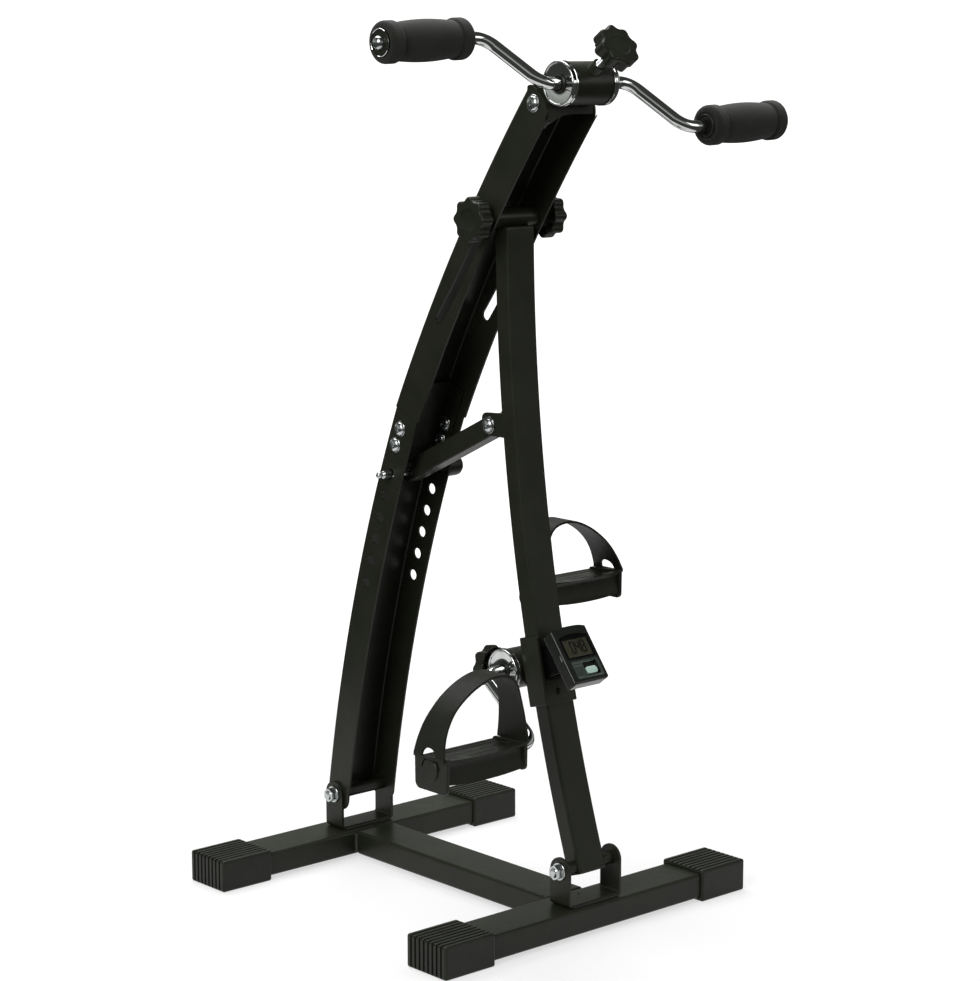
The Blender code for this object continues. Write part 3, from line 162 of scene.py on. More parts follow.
# Looks: dark and light tone, roughness and its spread, scale of the mottle and of the grain,
# strength and depth of the relief, specular level, metallic
LOOKS = {
    "black_steel": ((0.0165, 0.0182, 0.0118), (0.0220, 0.0240, 0.0160),
                    0.34, 0.06, 30, 900, 0.10, 0.00012, 0.20),
    "weld": ((0.0100, 0.0110, 0.0095), (0.0170, 0.0185, 0.0160),
             0.38, 0.1, 300, 500, 0.5, 0.0003, 0.40),
    "black_plastic": ((0.0130, 0.0145, 0.0096), (0.0185, 0.0204, 0.0140),
                      0.37, 0.06, 50, 2600, 0.18, 0.00008, 0.22),
    "strap_rubber": ((0.0082, 0.0094, 0.0060), (0.0124, 0.0138, 0.0092),
                     0.52, 0.07, 55, 1500, 0.14, 0.0001, 0.24),
    "chrome": ((0.50, 0.51, 0.505), (0.60, 0.61, 0.605),
               0.07, 0.03, 60, 350, 0.03, 0.0001, 0.5, 1.0),
    "zinc": ((0.42, 0.44, 0.44), (0.56, 0.58, 0.58),
             0.22, 0.06, 160, 1100, 0.05, 0.0001, 0.5, 1.0),
    "counter_plastic": ((0.0082, 0.0102, 0.0080), (0.0122, 0.0146, 0.0116),
                        0.25, 0.05, 70, 1800, 0.06, 0.00006, 0.40),
    "counter_panel": ((0.024, 0.036, 0.029), (0.042, 0.058, 0.048),
                      0.34, 0.06, 90, 2200, 0.10, 0.00006),
    "counter_line": ((0.10, 0.13, 0.115), (0.16, 0.19, 0.17),
                     0.42, 0.06, 90, 2200, 0.10, 0.00006),
    "counter_lens": ((0.0020, 0.0023, 0.0022), (0.0030, 0.0034, 0.0032),
                     0.14, 0.03, 60, 900, 0.01, 0.00004, 0.22),
    "display_glass": ((0.036, 0.036, 0.023), (0.050, 0.049, 0.033),
                      0.26, 0.04, 120, 2500, 0.03, 0.00004, 0.25),
    "digit_ink": ((0.002, 0.002, 0.001), (0.004, 0.004, 0.003),
                  0.55, 0.05, 200, 2500, 0.02, 0.00002, 0.10),
    "button_mint": ((0.46, 0.66, 0.58), (0.58, 0.76, 0.68),
                    0.36, 0.05, 110, 1800, 0.06, 0.00006),
    "foam": ((0.0080, 0.0092, 0.0062), (0.0125, 0.0140, 0.0098),
             0.88, 0.06, 60, 1700, 0.45, 0.00025, 0.25),
}

FLOOR_RADIUS = 0.8
SIDE_VIEW = Matrix(((0, 0, 1), (1, 0, 0), (0, 1, 0))).to_4x4()
FRONT_VIEW = Matrix(((1, 0, 0), (0, 0, -1), (0, 1, 0))).to_4x4()
PLAN_VIEW = Matrix.Identity(4)
TOOLS = []
MATERIALS = {}


# Finishing a piece

def add(obj, name, look, body, slot=None, degrees=32):
    """Apply the modifiers, give the piece its material and set it on its body."""
    done = as_mesh(obj)
    mesh = done.data
    mesh.transform(Matrix.Translation(SHIFT) @ done.matrix_basis)
    done.matrix_basis = Matrix.Identity(4)
    smooth(done, degrees)
    done.name = name
    mesh.name = name
    mesh.materials.clear()
    mesh.materials.append(MATERIALS[look])
    show(done)
    done.modifiers.new("even_shading", "WEIGHTED_NORMAL").keep_sharp = True
    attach(done, body)
    for tool_piece in TOOLS:
        bpy.data.objects.remove(tool_piece, do_unlink=True)
    TOOLS.clear()
    return done


def ship(obj, node, part, look, body, **options):
    """Add a piece that stands for a CAD solid and carries its name."""
    done = add(obj, f"{node}_{part}", look, body, **options)
    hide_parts(node)
    return done


def show(obj):
    bpy.context.scene.collection.objects.link(obj)


def configure(target, **values):
    for name, value in values.items():
        setattr(target, name, value)
    return target


def combine(obj, operation, others):
    for other in others:
        show(other)
        TOOLS.append(other)
        modifier = obj.modifiers.new(operation.lower(), "BOOLEAN")
        configure(modifier, operation=operation, solver="EXACT", object=other)
    return obj


def cut(obj, *others):
    return combine(obj, "DIFFERENCE", others)


def join(obj, *others):
    return combine(obj, "UNION", others)


def keep_common(obj, other):
    return combine(obj, "INTERSECT", [other])


def soften(obj, width, segments=3, degrees=40):
    bevel = obj.modifiers.new("rounded_edges", "BEVEL")
    configure(bevel, width=width, segments=segments, limit_method="ANGLE")
    bevel.angle_limit = radians(degrees)
    return obj


def deburr(obj, width=0.0004):
    return soften(obj, width, 2, 50)


def smooth(obj, degrees=35):
    obj.data.shade_smooth()
    obj.data.set_sharp_from_angle(angle=radians(degrees))
    return obj


# Shapes

def object_of(shape, name, matrix=None):
    mesh = bpy.data.meshes.new(name)
    shape.to_mesh(mesh)
    shape.free()
    obj = bpy.data.objects.new(name, mesh)
    obj.matrix_basis = matrix or Matrix.Identity(4)
    return obj


def as_mesh(source):
    """A curve, or a mesh with modifiers, turned into one welded mesh in the same place."""
    show(source)
    graph = bpy.context.evaluated_depsgraph_get()
    mesh = bpy.data.meshes.new_from_object(source.evaluated_get(graph))
    shape = bmesh.new()
    shape.from_mesh(mesh)
    bmesh.ops.remove_doubles(shape, verts=shape.verts, dist=1e-6)
    bmesh.ops.recalc_face_normals(shape, faces=shape.faces)
    bpy.data.meshes.remove(mesh)
    name, matrix = source.name, source.matrix_basis.copy()
    bpy.data.objects.remove(source, do_unlink=True)
    return object_of(shape, name, matrix)


def facing(direction):
    """The turn that points +Z along a direction."""
    return Vector(direction).to_track_quat("Z", "Y").to_matrix().to_4x4()


def block(low, high, matrix=None):
    low, high = Vector(low), Vector(high)
    shape = bmesh.new()
    bmesh.ops.create_cube(shape, size=1)
    bmesh.ops.scale(shape, vec=high - low, verts=shape.verts)
    bmesh.ops.translate(shape, vec=(low + high) / 2, verts=shape.verts)
    return object_of(shape, "block", matrix)


def add_box(shape, low, high):
    """One more box in a mesh that holds several."""
    made = bmesh.ops.create_cube(shape, size=1)["verts"]
    bmesh.ops.scale(shape, vec=[b - a for a, b in zip(low, high)], verts=made)
    bmesh.ops.translate(shape, vec=[(a + b) / 2 for a, b in zip(low, high)], verts=made)


def rod(start, end, radius, sides=40, end_radius=None):
    """A cylinder or a cone between two points."""
    start, end = Vector(start), Vector(end)
    shape = bmesh.new()
    bmesh.ops.create_cone(
        shape,
        cap_ends=True,
        segments=sides,
        radius1=radius,
        radius2=radius if end_radius is None else end_radius,
        depth=(end - start).length,
    )
    matrix = Matrix.Translation((start + end) / 2) @ facing(end - start)
    return smooth(object_of(shape, "rod", matrix))


def cross_rod(side, x_start, x_end, radius, sides=40):
    return rod((x_start, *side), (x_end, *side), radius, sides)


def hole(side, radius=BOLT_HOLE, sides=40):
    """The cutter for a hole straight across the machine."""
    return cross_rod(side, -THROUGH, THROUGH, radius, sides)


def curve_object(places, dimensions, cyclic, **settings):
    """A curve of straight runs through some places."""
    curve = configure(bpy.data.curves.new("run", "CURVE"), dimensions=dimensions, **settings)
    spline = configure(curve.splines.new("POLY"), use_cyclic_u=cyclic)
    spline.points.add(len(places) - 1)
    for point, place in zip(spline.points, places):
        point.co = (*place, 1)
    return bpy.data.objects.new("run", curve)


def plate(outline, start=-THROUGH, end=THROUGH, view=SIDE_VIEW):
    """A flat outline with thickness, from start to end along the view's depth."""
    places = [(across, along, 0) for across, along in outline]
    obj = curve_object(places, "2D", True, fill_mode="BOTH", extrude=abs(end - start) / 2)
    obj.matrix_basis = view @ Matrix.Translation((0, 0, (start + end) / 2))
    obj = as_mesh(obj)
    # One face instead of the triangles that fill the outline
    shape = bmesh.new()
    shape.from_mesh(obj.data)
    bmesh.ops.dissolve_limit(shape, angle_limit=radians(0.1), verts=shape.verts, edges=shape.edges)
    shape.to_mesh(obj.data)
    shape.free()
    return obj


def turned_shape(profile, base, direction, sides=48):
    """A profile of (radius, height) pairs, turned about the line from base along direction.

    The profile runs from the top of the axis, down the outer side, to the bottom of the axis. One
    that starts off the axis is a ring and closes on itself.
    """
    if profile[0][0] > 0:
        profile = [*profile, profile[0]]
    shape = bmesh.new()
    corners = [shape.verts.new((radius, 0, height)) for radius, height in profile]
    for first, second in zip(corners, corners[1:]):
        shape.edges.new((first, second))
    obj = object_of(shape, "turned", Matrix.Translation(base) @ facing(direction))
    screw = configure(obj.modifiers.new("turned", "SCREW"), steps=sides, render_steps=sides)
    configure(screw, use_merge_vertices=True, merge_threshold=1e-5)
    return smooth(as_mesh(obj))


def rolled_edge(outer, top, roll, angles):
    """Profile points of an outer edge that is rolled over at the top."""
    return [(outer - roll + roll * sin(a), top - roll + roll * cos(a)) for a in angles]


def bend_points(before, corner, after, radius, steps):
    """Points of the arc that rounds the corner between two straight runs."""
    towards_start = (before - corner).normalized()
    towards_end = (after - corner).normalized()
    half_angle = towards_start.angle(towards_end) / 2
    setback = radius / abs(sin(half_angle)) * cos(half_angle)
    middle = (towards_start + towards_end).normalized()
    centre = corner + middle * (radius / sin(half_angle))
    first = corner + towards_start * setback - centre
    last = corner + towards_end * setback - centre
    sweep = first.angle(last)
    axis = first.cross(last).normalized()
    turns = [Matrix.Rotation(sweep * step / steps, 3, axis) for step in range(steps + 1)]
    return [centre + turn @ first for turn in turns]


def round_corners(outline, *corners):
    """The outline with arcs at some corners, each (index, radius, steps), last corner first."""
    for index, radius, steps in corners:
        index %= len(outline)
        places = (outline[index - 1], outline[index], outline[(index + 1) % len(outline)])
        arc = bend_points(*(Vector(place).to_3d() for place in places), radius, steps)
        outline = outline[:index] + [(point.x, point.y) for point in arc] + outline[index + 1:]
    return outline


def rounded_rectangle(left, foot, right, top, radius, steps):
    outline = [(left, foot), (right, foot), (right, top), (left, top)]
    return round_corners(outline, *((index, radius, steps) for index in (3, 2, 1, 0)))


def on_arc(arc, degrees, outward=0.0):
    """A point of a column or strut arc, offset from its centreline away from the arc's centre."""
    angle = radians(degrees)
    reach = arc[2] + outward
    return (arc[0] + reach * cos(angle), arc[1] + reach * sin(angle))


def arc_band(arc, low, high, inner, outer, steps=44):
    """The band between two offsets of an arc, from one angle to another."""
    angles = [low + (high - low) * step / steps for step in range(steps + 1)]
    outside = [on_arc(arc, angle, outer) for angle in angles]
    inside = [on_arc(arc, angle, inner) for angle in reversed(angles)]
    return outside + inside


def rotated(side, pivot, degrees):
    """A side view point after leaning back about a pivot, top towards +Y."""
    angle = radians(degrees)
    dy, dz = side[0] - pivot[0], side[1] - pivot[1]
    return (
        pivot[0] + dy * cos(angle) + dz * sin(angle),
        pivot[1] - dy * sin(angle) + dz * cos(angle),
    )


def step_along(side, degrees, distance):
    """The point a distance away, at an angle measured from +Y towards +Z."""
    angle = radians(degrees)
    return (side[0] + distance * cos(angle), side[1] + distance * sin(angle))


def clamp_in_column(tilt):
    """Where the clamp axis lies in the column once the column leans back by tilt degrees."""
    leaned = rotated(CLAMP, STRUT_PIVOT, tilt * STRUT_RATIO)
    return rotated(leaned, COLUMN_PIVOT, -tilt)


def slot_outline(path, width, steps=12):
    """A slot of constant width with round ends along a path of side view points."""
    half, edges = width / 2, []
    for run in (path, path[::-1]):
        for index, point in enumerate(run):
            before = run[max(index - 1, 0)]
            after = run[min(index + 1, len(run) - 1)]
            heading = atan2(after[1] - before[1], after[0] - before[0])
            edges.append((point[0] + half * sin(heading), point[1] - half * cos(heading)))
        end, previous = run[-1], run[-2]
        heading = atan2(end[1] - previous[1], end[0] - previous[0])
        for step in range(1, steps):
            angle = heading - pi / 2 + pi * step / steps
            edges.append((end[0] + half * cos(angle), end[1] + half * sin(angle)))
    return edges


def round_bends(obj, arc, outward, half, radius):
    """Round the two long edges where a web turns into its flanges."""
    shape = bmesh.new()
    shape.from_mesh(obj.data)

    def on_bend(place):
        reach = hypot(place.y - arc[0], place.z - arc[1]) - arc[2]
        return abs(abs(place.x) - half) < 1e-5 and abs(reach - outward) < 1e-4

    bends = []
    for edge in shape.edges:
        start, end = (obj.matrix_basis @ vertex.co for vertex in edge.verts)
        if on_bend(start) and on_bend(end) and abs(start.x - end.x) <= 1e-5:
            bends.append(edge)
    bmesh.ops.bevel(shape, geom=bends, offset=radius, segments=5, profile=0.5, affect="EDGES")
    shape.to_mesh(obj.data)
    shape.free()


def channel(arc, low, high, depth, outline):
    """A channel cut from a solid band: web at the back, two flanges, open at the front."""
    back = depth / 2
    solid = plate(outline, -CHANNEL_HALF, CHANNEL_HALF)
    round_bends(solid, arc, back, CHANNEL_HALF, 0.0040)
    half, face = CHANNEL_HALF - CHANNEL_WALL, back - CHANNEL_WALL
    inside = plate(arc_band(arc, low - 1.5, high + 1.5, -back - 0.03, face), -half, half)
    round_bends(inside, arc, face, half, 0.0020)
    return cut(solid, inside)


def seam_cutter(above):
    """A large block on one side of the seam between the two channels."""
    low, high = (-GAP / 2, 0.06) if above else (-0.06, GAP / 2)
    middle = Matrix.Translation((0, *on_arc(LOWER_ARC, SEAM_DEGREES)))
    turn = Matrix.Rotation(radians(SEAM_DEGREES), 4, "X")
    return block((-THROUGH, -0.06, low), (THROUGH, 0.06, high), middle @ turn)


def pin_hole(index):
    """Centre of a hole for the lock pin, counted down the column."""
    return on_arc(LOWER_ARC, PIN_HOLE_DEGREES - index * PIN_HOLE_PITCH / LOWER_ARC[2] * 180 / pi)


def strut_y(z):
    """Y of the strut's centreline at a height."""
    rise = z - STRUT_ARC[1]
    return STRUT_ARC[0] + (STRUT_ARC[2] ** 2 - rise ** 2) ** 0.5


# Materials: colour, roughness and relief all vary with noise in the object's own space

def set_inputs(node, values):
    for socket, value in values.items():
        node.inputs[socket].default_value = value


def texture(tree, kind, **values):
    """A texture node in the object's own space."""
    node = tree.nodes.new(kind)
    set_inputs(node, values)
    tree.links.new(tree.nodes["Texture Coordinate"].outputs["Object"], node.inputs["Vector"])
    return node


def add_relief(tree, height, strength, depth):
    bump = tree.nodes.new("ShaderNodeBump")
    set_inputs(bump, {"Strength": strength, "Distance": depth})
    tree.links.new(height, bump.inputs["Height"])
    tree.links.new(bump.outputs["Normal"], tree.nodes["Principled BSDF"].inputs["Normal"])
    return bump


def make_look(name, dark, light, rough, spread, mottle, grain, relief, depth,
              specular=0.5, metallic=0.0):
    """A surface whose colour lies between two tones, with uneven gloss and a fine grain."""
    made = bpy.data.materials.new(name)
    made.use_nodes = True
    tree = made.node_tree
    shader = tree.nodes["Principled BSDF"]
    tree.nodes.new("ShaderNodeTexCoord")
    ramp = tree.nodes.new("ShaderNodeValToRGB")
    for element, place, tone in zip(ramp.color_ramp.elements, (0.35, 0.68), (dark, light)):
        element.position = place
        element.color = (*tone, 1)
    patches = texture(tree, "ShaderNodeTexNoise", Scale=mottle, Detail=3.0)
    tree.links.new(patches.outputs["Fac"], ramp.inputs["Fac"])
    tree.links.new(ramp.outputs["Color"], shader.inputs["Base Color"])
    gloss = tree.nodes.new("ShaderNodeMapRange")
    set_inputs(gloss, {"To Min": max(rough - spread, 0.02), "To Max": rough + spread})
    smears = texture(tree, "ShaderNodeTexNoise", Scale=mottle * 3.1, Detail=5.0)
    tree.links.new(smears.outputs["Fac"], gloss.inputs["Value"])
    tree.links.new(gloss.outputs["Result"], shader.inputs["Roughness"])
    grains = texture(tree, "ShaderNodeTexNoise", Scale=grain, Detail=2.0)
    add_relief(tree, grains.outputs["Fac"], relief, depth)
    set_inputs(shader, {"Metallic": metallic, "Specular IOR Level": specular})
    MATERIALS[name] = made


def make_materials():
    for name, values in LOOKS.items():
        make_look(name, *values)
    # The foam also has small pores and a faint bloom
    tree = MATERIALS["foam"].node_tree
    set_inputs(tree.nodes["Principled BSDF"], {"Sheen Weight": 0.15, "Sheen Roughness": 0.6})
    grain = tree.nodes["Bump"]
    pores = texture(tree, "ShaderNodeTexVoronoi", Scale=1300)
    bump = add_relief(tree, pores.outputs["Distance"], 0.35, 0.0002)
    tree.links.new(grain.outputs["Normal"], bump.inputs["Normal"])


# Small shapes that many pieces share

def hex_nut(place, axis, length, across=0.0130):
    """A hexagon with its corners turned off at both faces."""
    radius = across / 2 / cos(pi / 6)
    start = Vector(place)
    direction = Vector(axis).normalized()
    body = rod(start, start + direction * length, radius, 6)
    edge, rim, shoulder = radius * 0.93, radius * 1.01, length * 0.12
    profile = [(0, length), (edge, length), (rim, length - shoulder)]
    profile += [(rim, shoulder), (edge, 0), (0, 0)]
    return keep_common(body, turned_shape(profile, start, direction, 36))


def washer(place, axis, outer, thick=0.0014):
    profile = [(0, thick), (outer - 0.0003, thick), (outer, thick - 0.0003), (outer, 0), (0, 0)]
    return turned_shape(profile, place, axis, 40)


def dome_head(place, axis, radius, height):
    angles = [pi / 2 * step / 8 for step in range(9)]
    profile = [(radius * sin(a), height * cos(a)) for a in angles]
    return turned_shape([*profile, (0, 0)], place, axis, 40)


def cross_recess(place, width, reach, depth):
    """The cutter for the cross in a screw head on the left: two bars."""
    spot = Matrix.Translation(Vector(place) - Vector(LEFT) * depth) @ facing(LEFT)
    turns = [spot @ Matrix.Rotation(angle, 4, "Z") for angle in (0.6, 0.6 + pi / 2)]
    return [block((-reach, -width / 2, 0), (reach, width / 2, 0.01), turn) for turn in turns]


def bead(name, start, end, radius, body):
    """A weld bead between two points, with the overlapping scales of the weld."""
    start, end = Vector(start), Vector(end)
    spacing, ripple, sides = 0.0007, 0.0026, 10
    angles = [2 * pi * k / sides for k in range(sides)]
    count = max(int((end - start).length / spacing), 1)
    dense = [start.lerp(end, index / count) for index in range(count)] + [end]
    shape = bmesh.new()
    rings, walked = [], 0.0
    for index, point in enumerate(dense):
        before, after = dense[max(index - 1, 0)], dense[min(index + 1, count)]
        walked += (point - before).length
        along = (after - before).normalized()
        side = along.orthogonal().normalized()
        other = along.cross(side)
        swell = radius * (0.86 + 0.18 * abs(sin(pi * walked / ripple)))
        if index in (0, count):
            swell = radius * 0.35
        spokes = [side * cos(a) + other * sin(a) for a in angles]
        rings.append([shape.verts.new(point + spoke * swell) for spoke in spokes])
    for first, second in zip(rings, rings[1:]):
        for k in range(sides):
            after = (k + 1) % sides
            shape.faces.new((first[k], first[after], second[after], second[k]))
    shape.faces.new(rings[0][::-1])
    shape.faces.new(rings[-1])
    bmesh.ops.recalc_face_normals(shape, faces=shape.faces)
    add(object_of(shape, name), "weld_" + name, "weld", body, "black_steel", 60)


# Base

def base_tubes():
    half = TUBE_WIDTH / 2
    low = (CAP_HEIGHT - TUBE_HEIGHT) / 2
    top = low + TUBE_HEIGHT
    reach = BASE_LENGTH / 2 - CAP_WALL - 2 * GAP
    length = BAR_Y - half - GAP
    for name, x, y_low, y_high in (
        ("front_bar", reach, -BAR_Y - half, -BAR_Y + half),
        ("rear_bar", reach, BAR_Y - half, BAR_Y + half),
        ("centre_tube", half, -length, length),
    ):
        tube = soften(block((-x, y_low, low), (x, y_high, top)), 0.0030, 4)
        ship(tube, name, "tube", "black_steel", "base")
    for end, side, radius in (("front", -1, 0.0016), ("rear", 1, 0.0030)):
        y = side * (BAR_Y - half - 0.0004)
        for hand, across in HANDS:
            x = across * (half + 0.0003)
            bead(f"centre_{end}_{hand}", (x, y, low + 0.002), (x, y, top - 0.002), radius, "base")


def end_cap(name, side, y):
    outer, half = BASE_LENGTH / 2, CAP_WIDTH / 2
    inner = outer - CAP_LENGTH
    low = (CAP_HEIGHT - TUBE_HEIGHT) / 2 - GAP
    turn = Matrix.Translation((0, y, 0)) @ Matrix.Rotation(0 if side > 0 else pi, 4, "Z")
    cap = soften(block((inner, -half, 0), (outer, half, CAP_HEIGHT), turn), 0.0026, 5)
    socket = block(
        (inner - 0.01, -TUBE_WIDTH / 2 - GAP, low),
        (outer - CAP_WALL, TUBE_WIDTH / 2 + GAP, low + TUBE_HEIGHT + 2 * GAP),
        turn,
    )
    soften(socket, 0.0024, 3)
    depth, width, margin = 0.0013, 0.0025, 0.0068
    pitch = (CAP_WIDTH - 2 * margin) / (CAP_GROOVES - 1)
    for x, z in ((inner - 0.001, CAP_HEIGHT - depth), (outer - depth, -0.001)):
        grooves = bmesh.new()
        for index in range(CAP_GROOVES):
            middle = -half + margin + index * pitch
            near, far = middle - width / 2, middle + width / 2
            add_box(grooves, (x, near, z), (outer + 0.01, far, CAP_HEIGHT + 0.01))
        cut(cap, object_of(grooves, "grooves", turn))
    cut(cap, socket)
    ship(deburr(cap, 0.0003), name, "moulding", "black_plastic", "base")


def pivot_bracket(name, pivot):
    floor = (CAP_HEIGHT + TUBE_HEIGHT) / 2 + GAP
    y, top = pivot[0], pivot[1] - floor + EAR_RADIUS
    outline, bend = [], 0.0050
    outside, inside = BRACKET_HALF, BRACKET_PLATE - BRACKET_HALF
    for half, foot, radius in ((outside, 0, bend), (inside, BRACKET_PLATE, bend - BRACKET_PLATE)):
        leg = [(-half, top), (-half, foot), (half, foot), (half, top)]
        outline += round_corners(leg, (2, radius, 8), (1, radius, 8))
    outline = [(x, z + floor) for x, z in outline]
    sheet = plate(outline, -y - EAR_RADIUS, -y + EAR_RADIUS, FRONT_VIEW)
    ear = [(y - EAR_RADIUS, floor - 0.01), (y + EAR_RADIUS, floor - 0.01)]
    ear += [step_along(pivot, 180 * step / 40, EAR_RADIUS) for step in range(41)]
    keep_common(sheet, plate(ear))
    cut(sheet, hole(pivot))
    if y < 0:
        cut(sheet, rod((0, y + 0.0100, 0.02), (0, y + 0.0100, 0.05), 0.0012, 20))
    ship(deburr(sheet), name, "sheet", "black_steel", "base")
    x, z = BRACKET_HALF - 0.006, floor + 0.0004
    for end, edge in (("front", y - EAR_RADIUS), ("rear", y + EAR_RADIUS)):
        bead(f"{name}_{end}", (-x, edge, z), (x, edge, z), 0.0015, "base")


def pivot_bolt(name, pivot):
    outside = BRACKET_HALF + GAP
    bolt = cross_rod(pivot, -outside - 0.006, outside + 0.002, BOLT_RADIUS)
    join(bolt, washer((-outside, *pivot), LEFT, 0.0088))
    join(bolt, hex_nut((-outside - 0.0012, *pivot), LEFT, 0.0062))
    join(bolt, dome_head((-outside - 0.0070, *pivot), LEFT, 0.0050, 0.0018))
    join(bolt, hex_nut((outside, *pivot), RIGHT, 0.0052))
    ship(bolt, name, "set", "zinc", "base")


# Column

def lower_column():
    low, high, half = 8.05, SEAM_DEGREES + 0.4, LOWER_DEPTH / 2
    outline = arc_band(LOWER_ARC, low, high, -half, half)
    outline = round_corners(outline, (-1, 0.013, 10), (0, 0.013, 10))
    body = channel(LOWER_ARC, low, high, LOWER_DEPTH, outline)
    y, z = COLUMN_PIVOT
    web_end = block((-0.028, y + 0.004, z - 0.03), (0.028, y + 0.03, z - 0.002))
    cut(body, seam_cutter(above=True), web_end)
    reach = CHANNEL_HALF - 0.001
    join(body, cross_rod(COLUMN_PIVOT, -reach, reach, COLUMN_PIVOT_TUBE, 32))
    cut(body, hole(COLUMN_PIVOT))
    cut(body, *(hole(pin_hole(index), PIN_HOLE_RADIUS, 36) for index in range(PIN_HOLES)))
    cut(body, *(hole(bolt, COLUMN_BOLT_HOLE, 24) for bolt in COLUMN_BOLTS))
    ship(deburr(body, 0.00035), "lower_column", "channel", "black_steel", "column")


def upper_column():
    low, high, half = 24.9, 37.54, UPPER_DEPTH / 2
    outline = arc_band(UPPER_ARC, low, high, -half, half)
    front_top = len(outline) // 2
    outline = round_corners(outline, (front_top, 0.020, 16), (front_top - 1, 0.006, 8))
    body = channel(UPPER_ARC, low, high, UPPER_DEPTH, outline)
    foot, head = on_arc(UPPER_ARC, 25.2, -half), on_arc(UPPER_ARC, 34.5, -half)
    waist = [foot, head, (head[0] - THROUGH, head[1]), (foot[0] - THROUGH, foot[1])]
    cut(body, plate(waist))
    path = [clamp_in_column(TILT_DEGREES * step / 16) for step in range(17)]
    cut(body, seam_cutter(above=False), plate(slot_outline(path, SLOT_WIDTH)), hole(TOP_BOLT))
    ship(deburr(body, 0.00035), "upper_column", "channel", "black_steel", "column")


def column_joiner():
    outer, wall = 0.0135, 0.0020
    half = CHANNEL_HALF - CHANNEL_WALL - GAP
    body = plate(arc_band(LOWER_ARC, 20.9, 23.2, -0.010, outer, 12), -half, half)
    round_bends(body, LOWER_ARC, outer, half, 0.0035)
    inside = arc_band(LOWER_ARC, 20.5, 23.6, -0.030, outer - wall, 12)
    cut(body, plate(inside, -half + wall, half - wall))
    cut(body, *(hole(bolt, COLUMN_BOLT_HOLE, 24) for bolt in COLUMN_BOLTS))
    ship(body, "column_joiner", "sheet", "black_steel", "column")


def bolt_set(name, body, place, seat, back, washer_size, dome_size, socket, shank, nut):
    """A washer, a domed head with a socket, a shank and a nut, from the left to the right."""
    head = washer((seat, *place), LEFT, *washer_size)
    join(head, dome_head((seat - washer_size[1] + 0.0002, *place), LEFT, *dome_size))
    cut(head, *socket)
    join(head, cross_rod(place, *shank))
    join(head, hex_nut((back, *place), RIGHT, *nut))
    ship(head, name, "set", "zinc", body)


def column_bolt(name, side, place):
    """Round heads with a cross recess: outside on the left, inside the channel on the right."""
    outside = CHANNEL_HALF + GAP
    inside = CHANNEL_HALF - 2 * CHANNEL_WALL - 2 * GAP
    seat, back = (-outside, -inside) if side < 0 else (inside, outside)
    recess = cross_recess((seat - 0.0040, *place), 0.0014, 0.0038, 0.0022)
    bolt_set(name, "column", place, seat, back, (0.0080, 0.0008), (0.0068, 0.0034), recess,
             (seat - 0.0004, back + 0.0060, 0.0029, 24), (0.0045, 0.0095))


def arm_hub_bracket():
    half = CHANNEL_HALF - CHANNEL_WALL - GAP
    wall, front = 0.0025, -0.1495
    outline = [(front, 0.8150), (front, 0.7800), (-0.1440, 0.7740), (-0.1400, 0.7740),
               (-0.1230, 0.7820), (-0.1180, 0.7930), (-0.1270, 0.8060), (-0.1345, 0.8112)]
    body = plate(round_corners(outline, (6, 0.004, 8), (5, 0.006, 8)), -half, half)
    steps, sweep = 14, 0.0300
    arch = [(half + wall, 0.7862)]
    for step in range(steps + 1):
        share = step / steps
        arch.append((wall - half + sweep * (1 - share), 0.7866 - 0.0096 * share ** 2.2))
    arch += [(wall - half, 0.7600), (half + wall, 0.7600)]
    cut(body, plate(arch, 0.1200, 0.1600, FRONT_VIEW))
    inside = block((-half + wall, front + wall, 0.76), (half - wall, -0.10, 0.84))
    cut(body, soften(inside, 0.003, 5), hole(ARM_HUB, RING_RADIUS + 2 * GAP, 96), hole(TOP_BOLT))
    ship(deburr(body), "arm_hub_bracket", "sheet", "black_steel", "column")


def arm_bracket_bolt():
    outside = CHANNEL_HALF + GAP
    socket = rod((-outside - 0.0022, *TOP_BOLT), (-outside - 0.02, *TOP_BOLT), 0.0029, 6)
    bolt_set("arm_bracket_bolt", "column", TOP_BOLT, -outside, outside, (0.0085, 0.0010),
             (0.0072, 0.0034), [socket], (-outside - 0.0006, outside + 0.002, BOLT_RADIUS, 24),
             (0.0062,))


# Hubs, cranks and grips

def hub(prefix, place, knob_degrees, body):
    def out(distance):
        return (0, *step_along(place, knob_degrees, distance))

    reach = HUB_HALF - RING_WIDTH - GAP
    shell = cross_rod(place, -reach, reach, HUB_RADIUS, 96)
    join(shell, rod(out(HUB_RADIUS - 0.002), out(HUB_RADIUS + 0.0095), 0.0066, 40))
    cut(shell, hole(place, 0.0170, 64))
    cut(shell, rod(out(0.010), out(HUB_RADIUS + 0.02), BOLT_HOLE + GAP, 32))
    ship(deburr(shell), prefix + "_hub_shell", "tube", "black_steel", body)
    for hand, side in HANDS:
        hub_cup(f"{prefix}_hub_ring_{hand}", place, side, body)
        hub_bush(f"{prefix}_hub_bush_{hand}", place, side, body)


def hub_cup(name, place, side, body):
    """The chrome cup: a rolled outer rim, a groove round its side and a sunk face."""
    bore, outer = 0.0090, RING_RADIUS
    low, high = HUB_HALF - RING_WIDTH, HUB_HALF
    profile = [(bore, high - 0.0024), (0.0135, high - 0.0024), (0.0165, high - 0.0018)]
    profile += rolled_edge(outer, high, 0.0014, [pi * s / 8 - pi / 2 for s in range(9)])
    profile += [(outer, low + 0.0030), (outer - 0.0007, low + 0.0026),
                (outer - 0.0007, low + 0.0020), (outer, low + 0.0016), (outer, low), (bore, low)]
    ship(turned_shape(profile, (0, *place), (side, 0, 0), 96), name, "cup", "chrome", body)


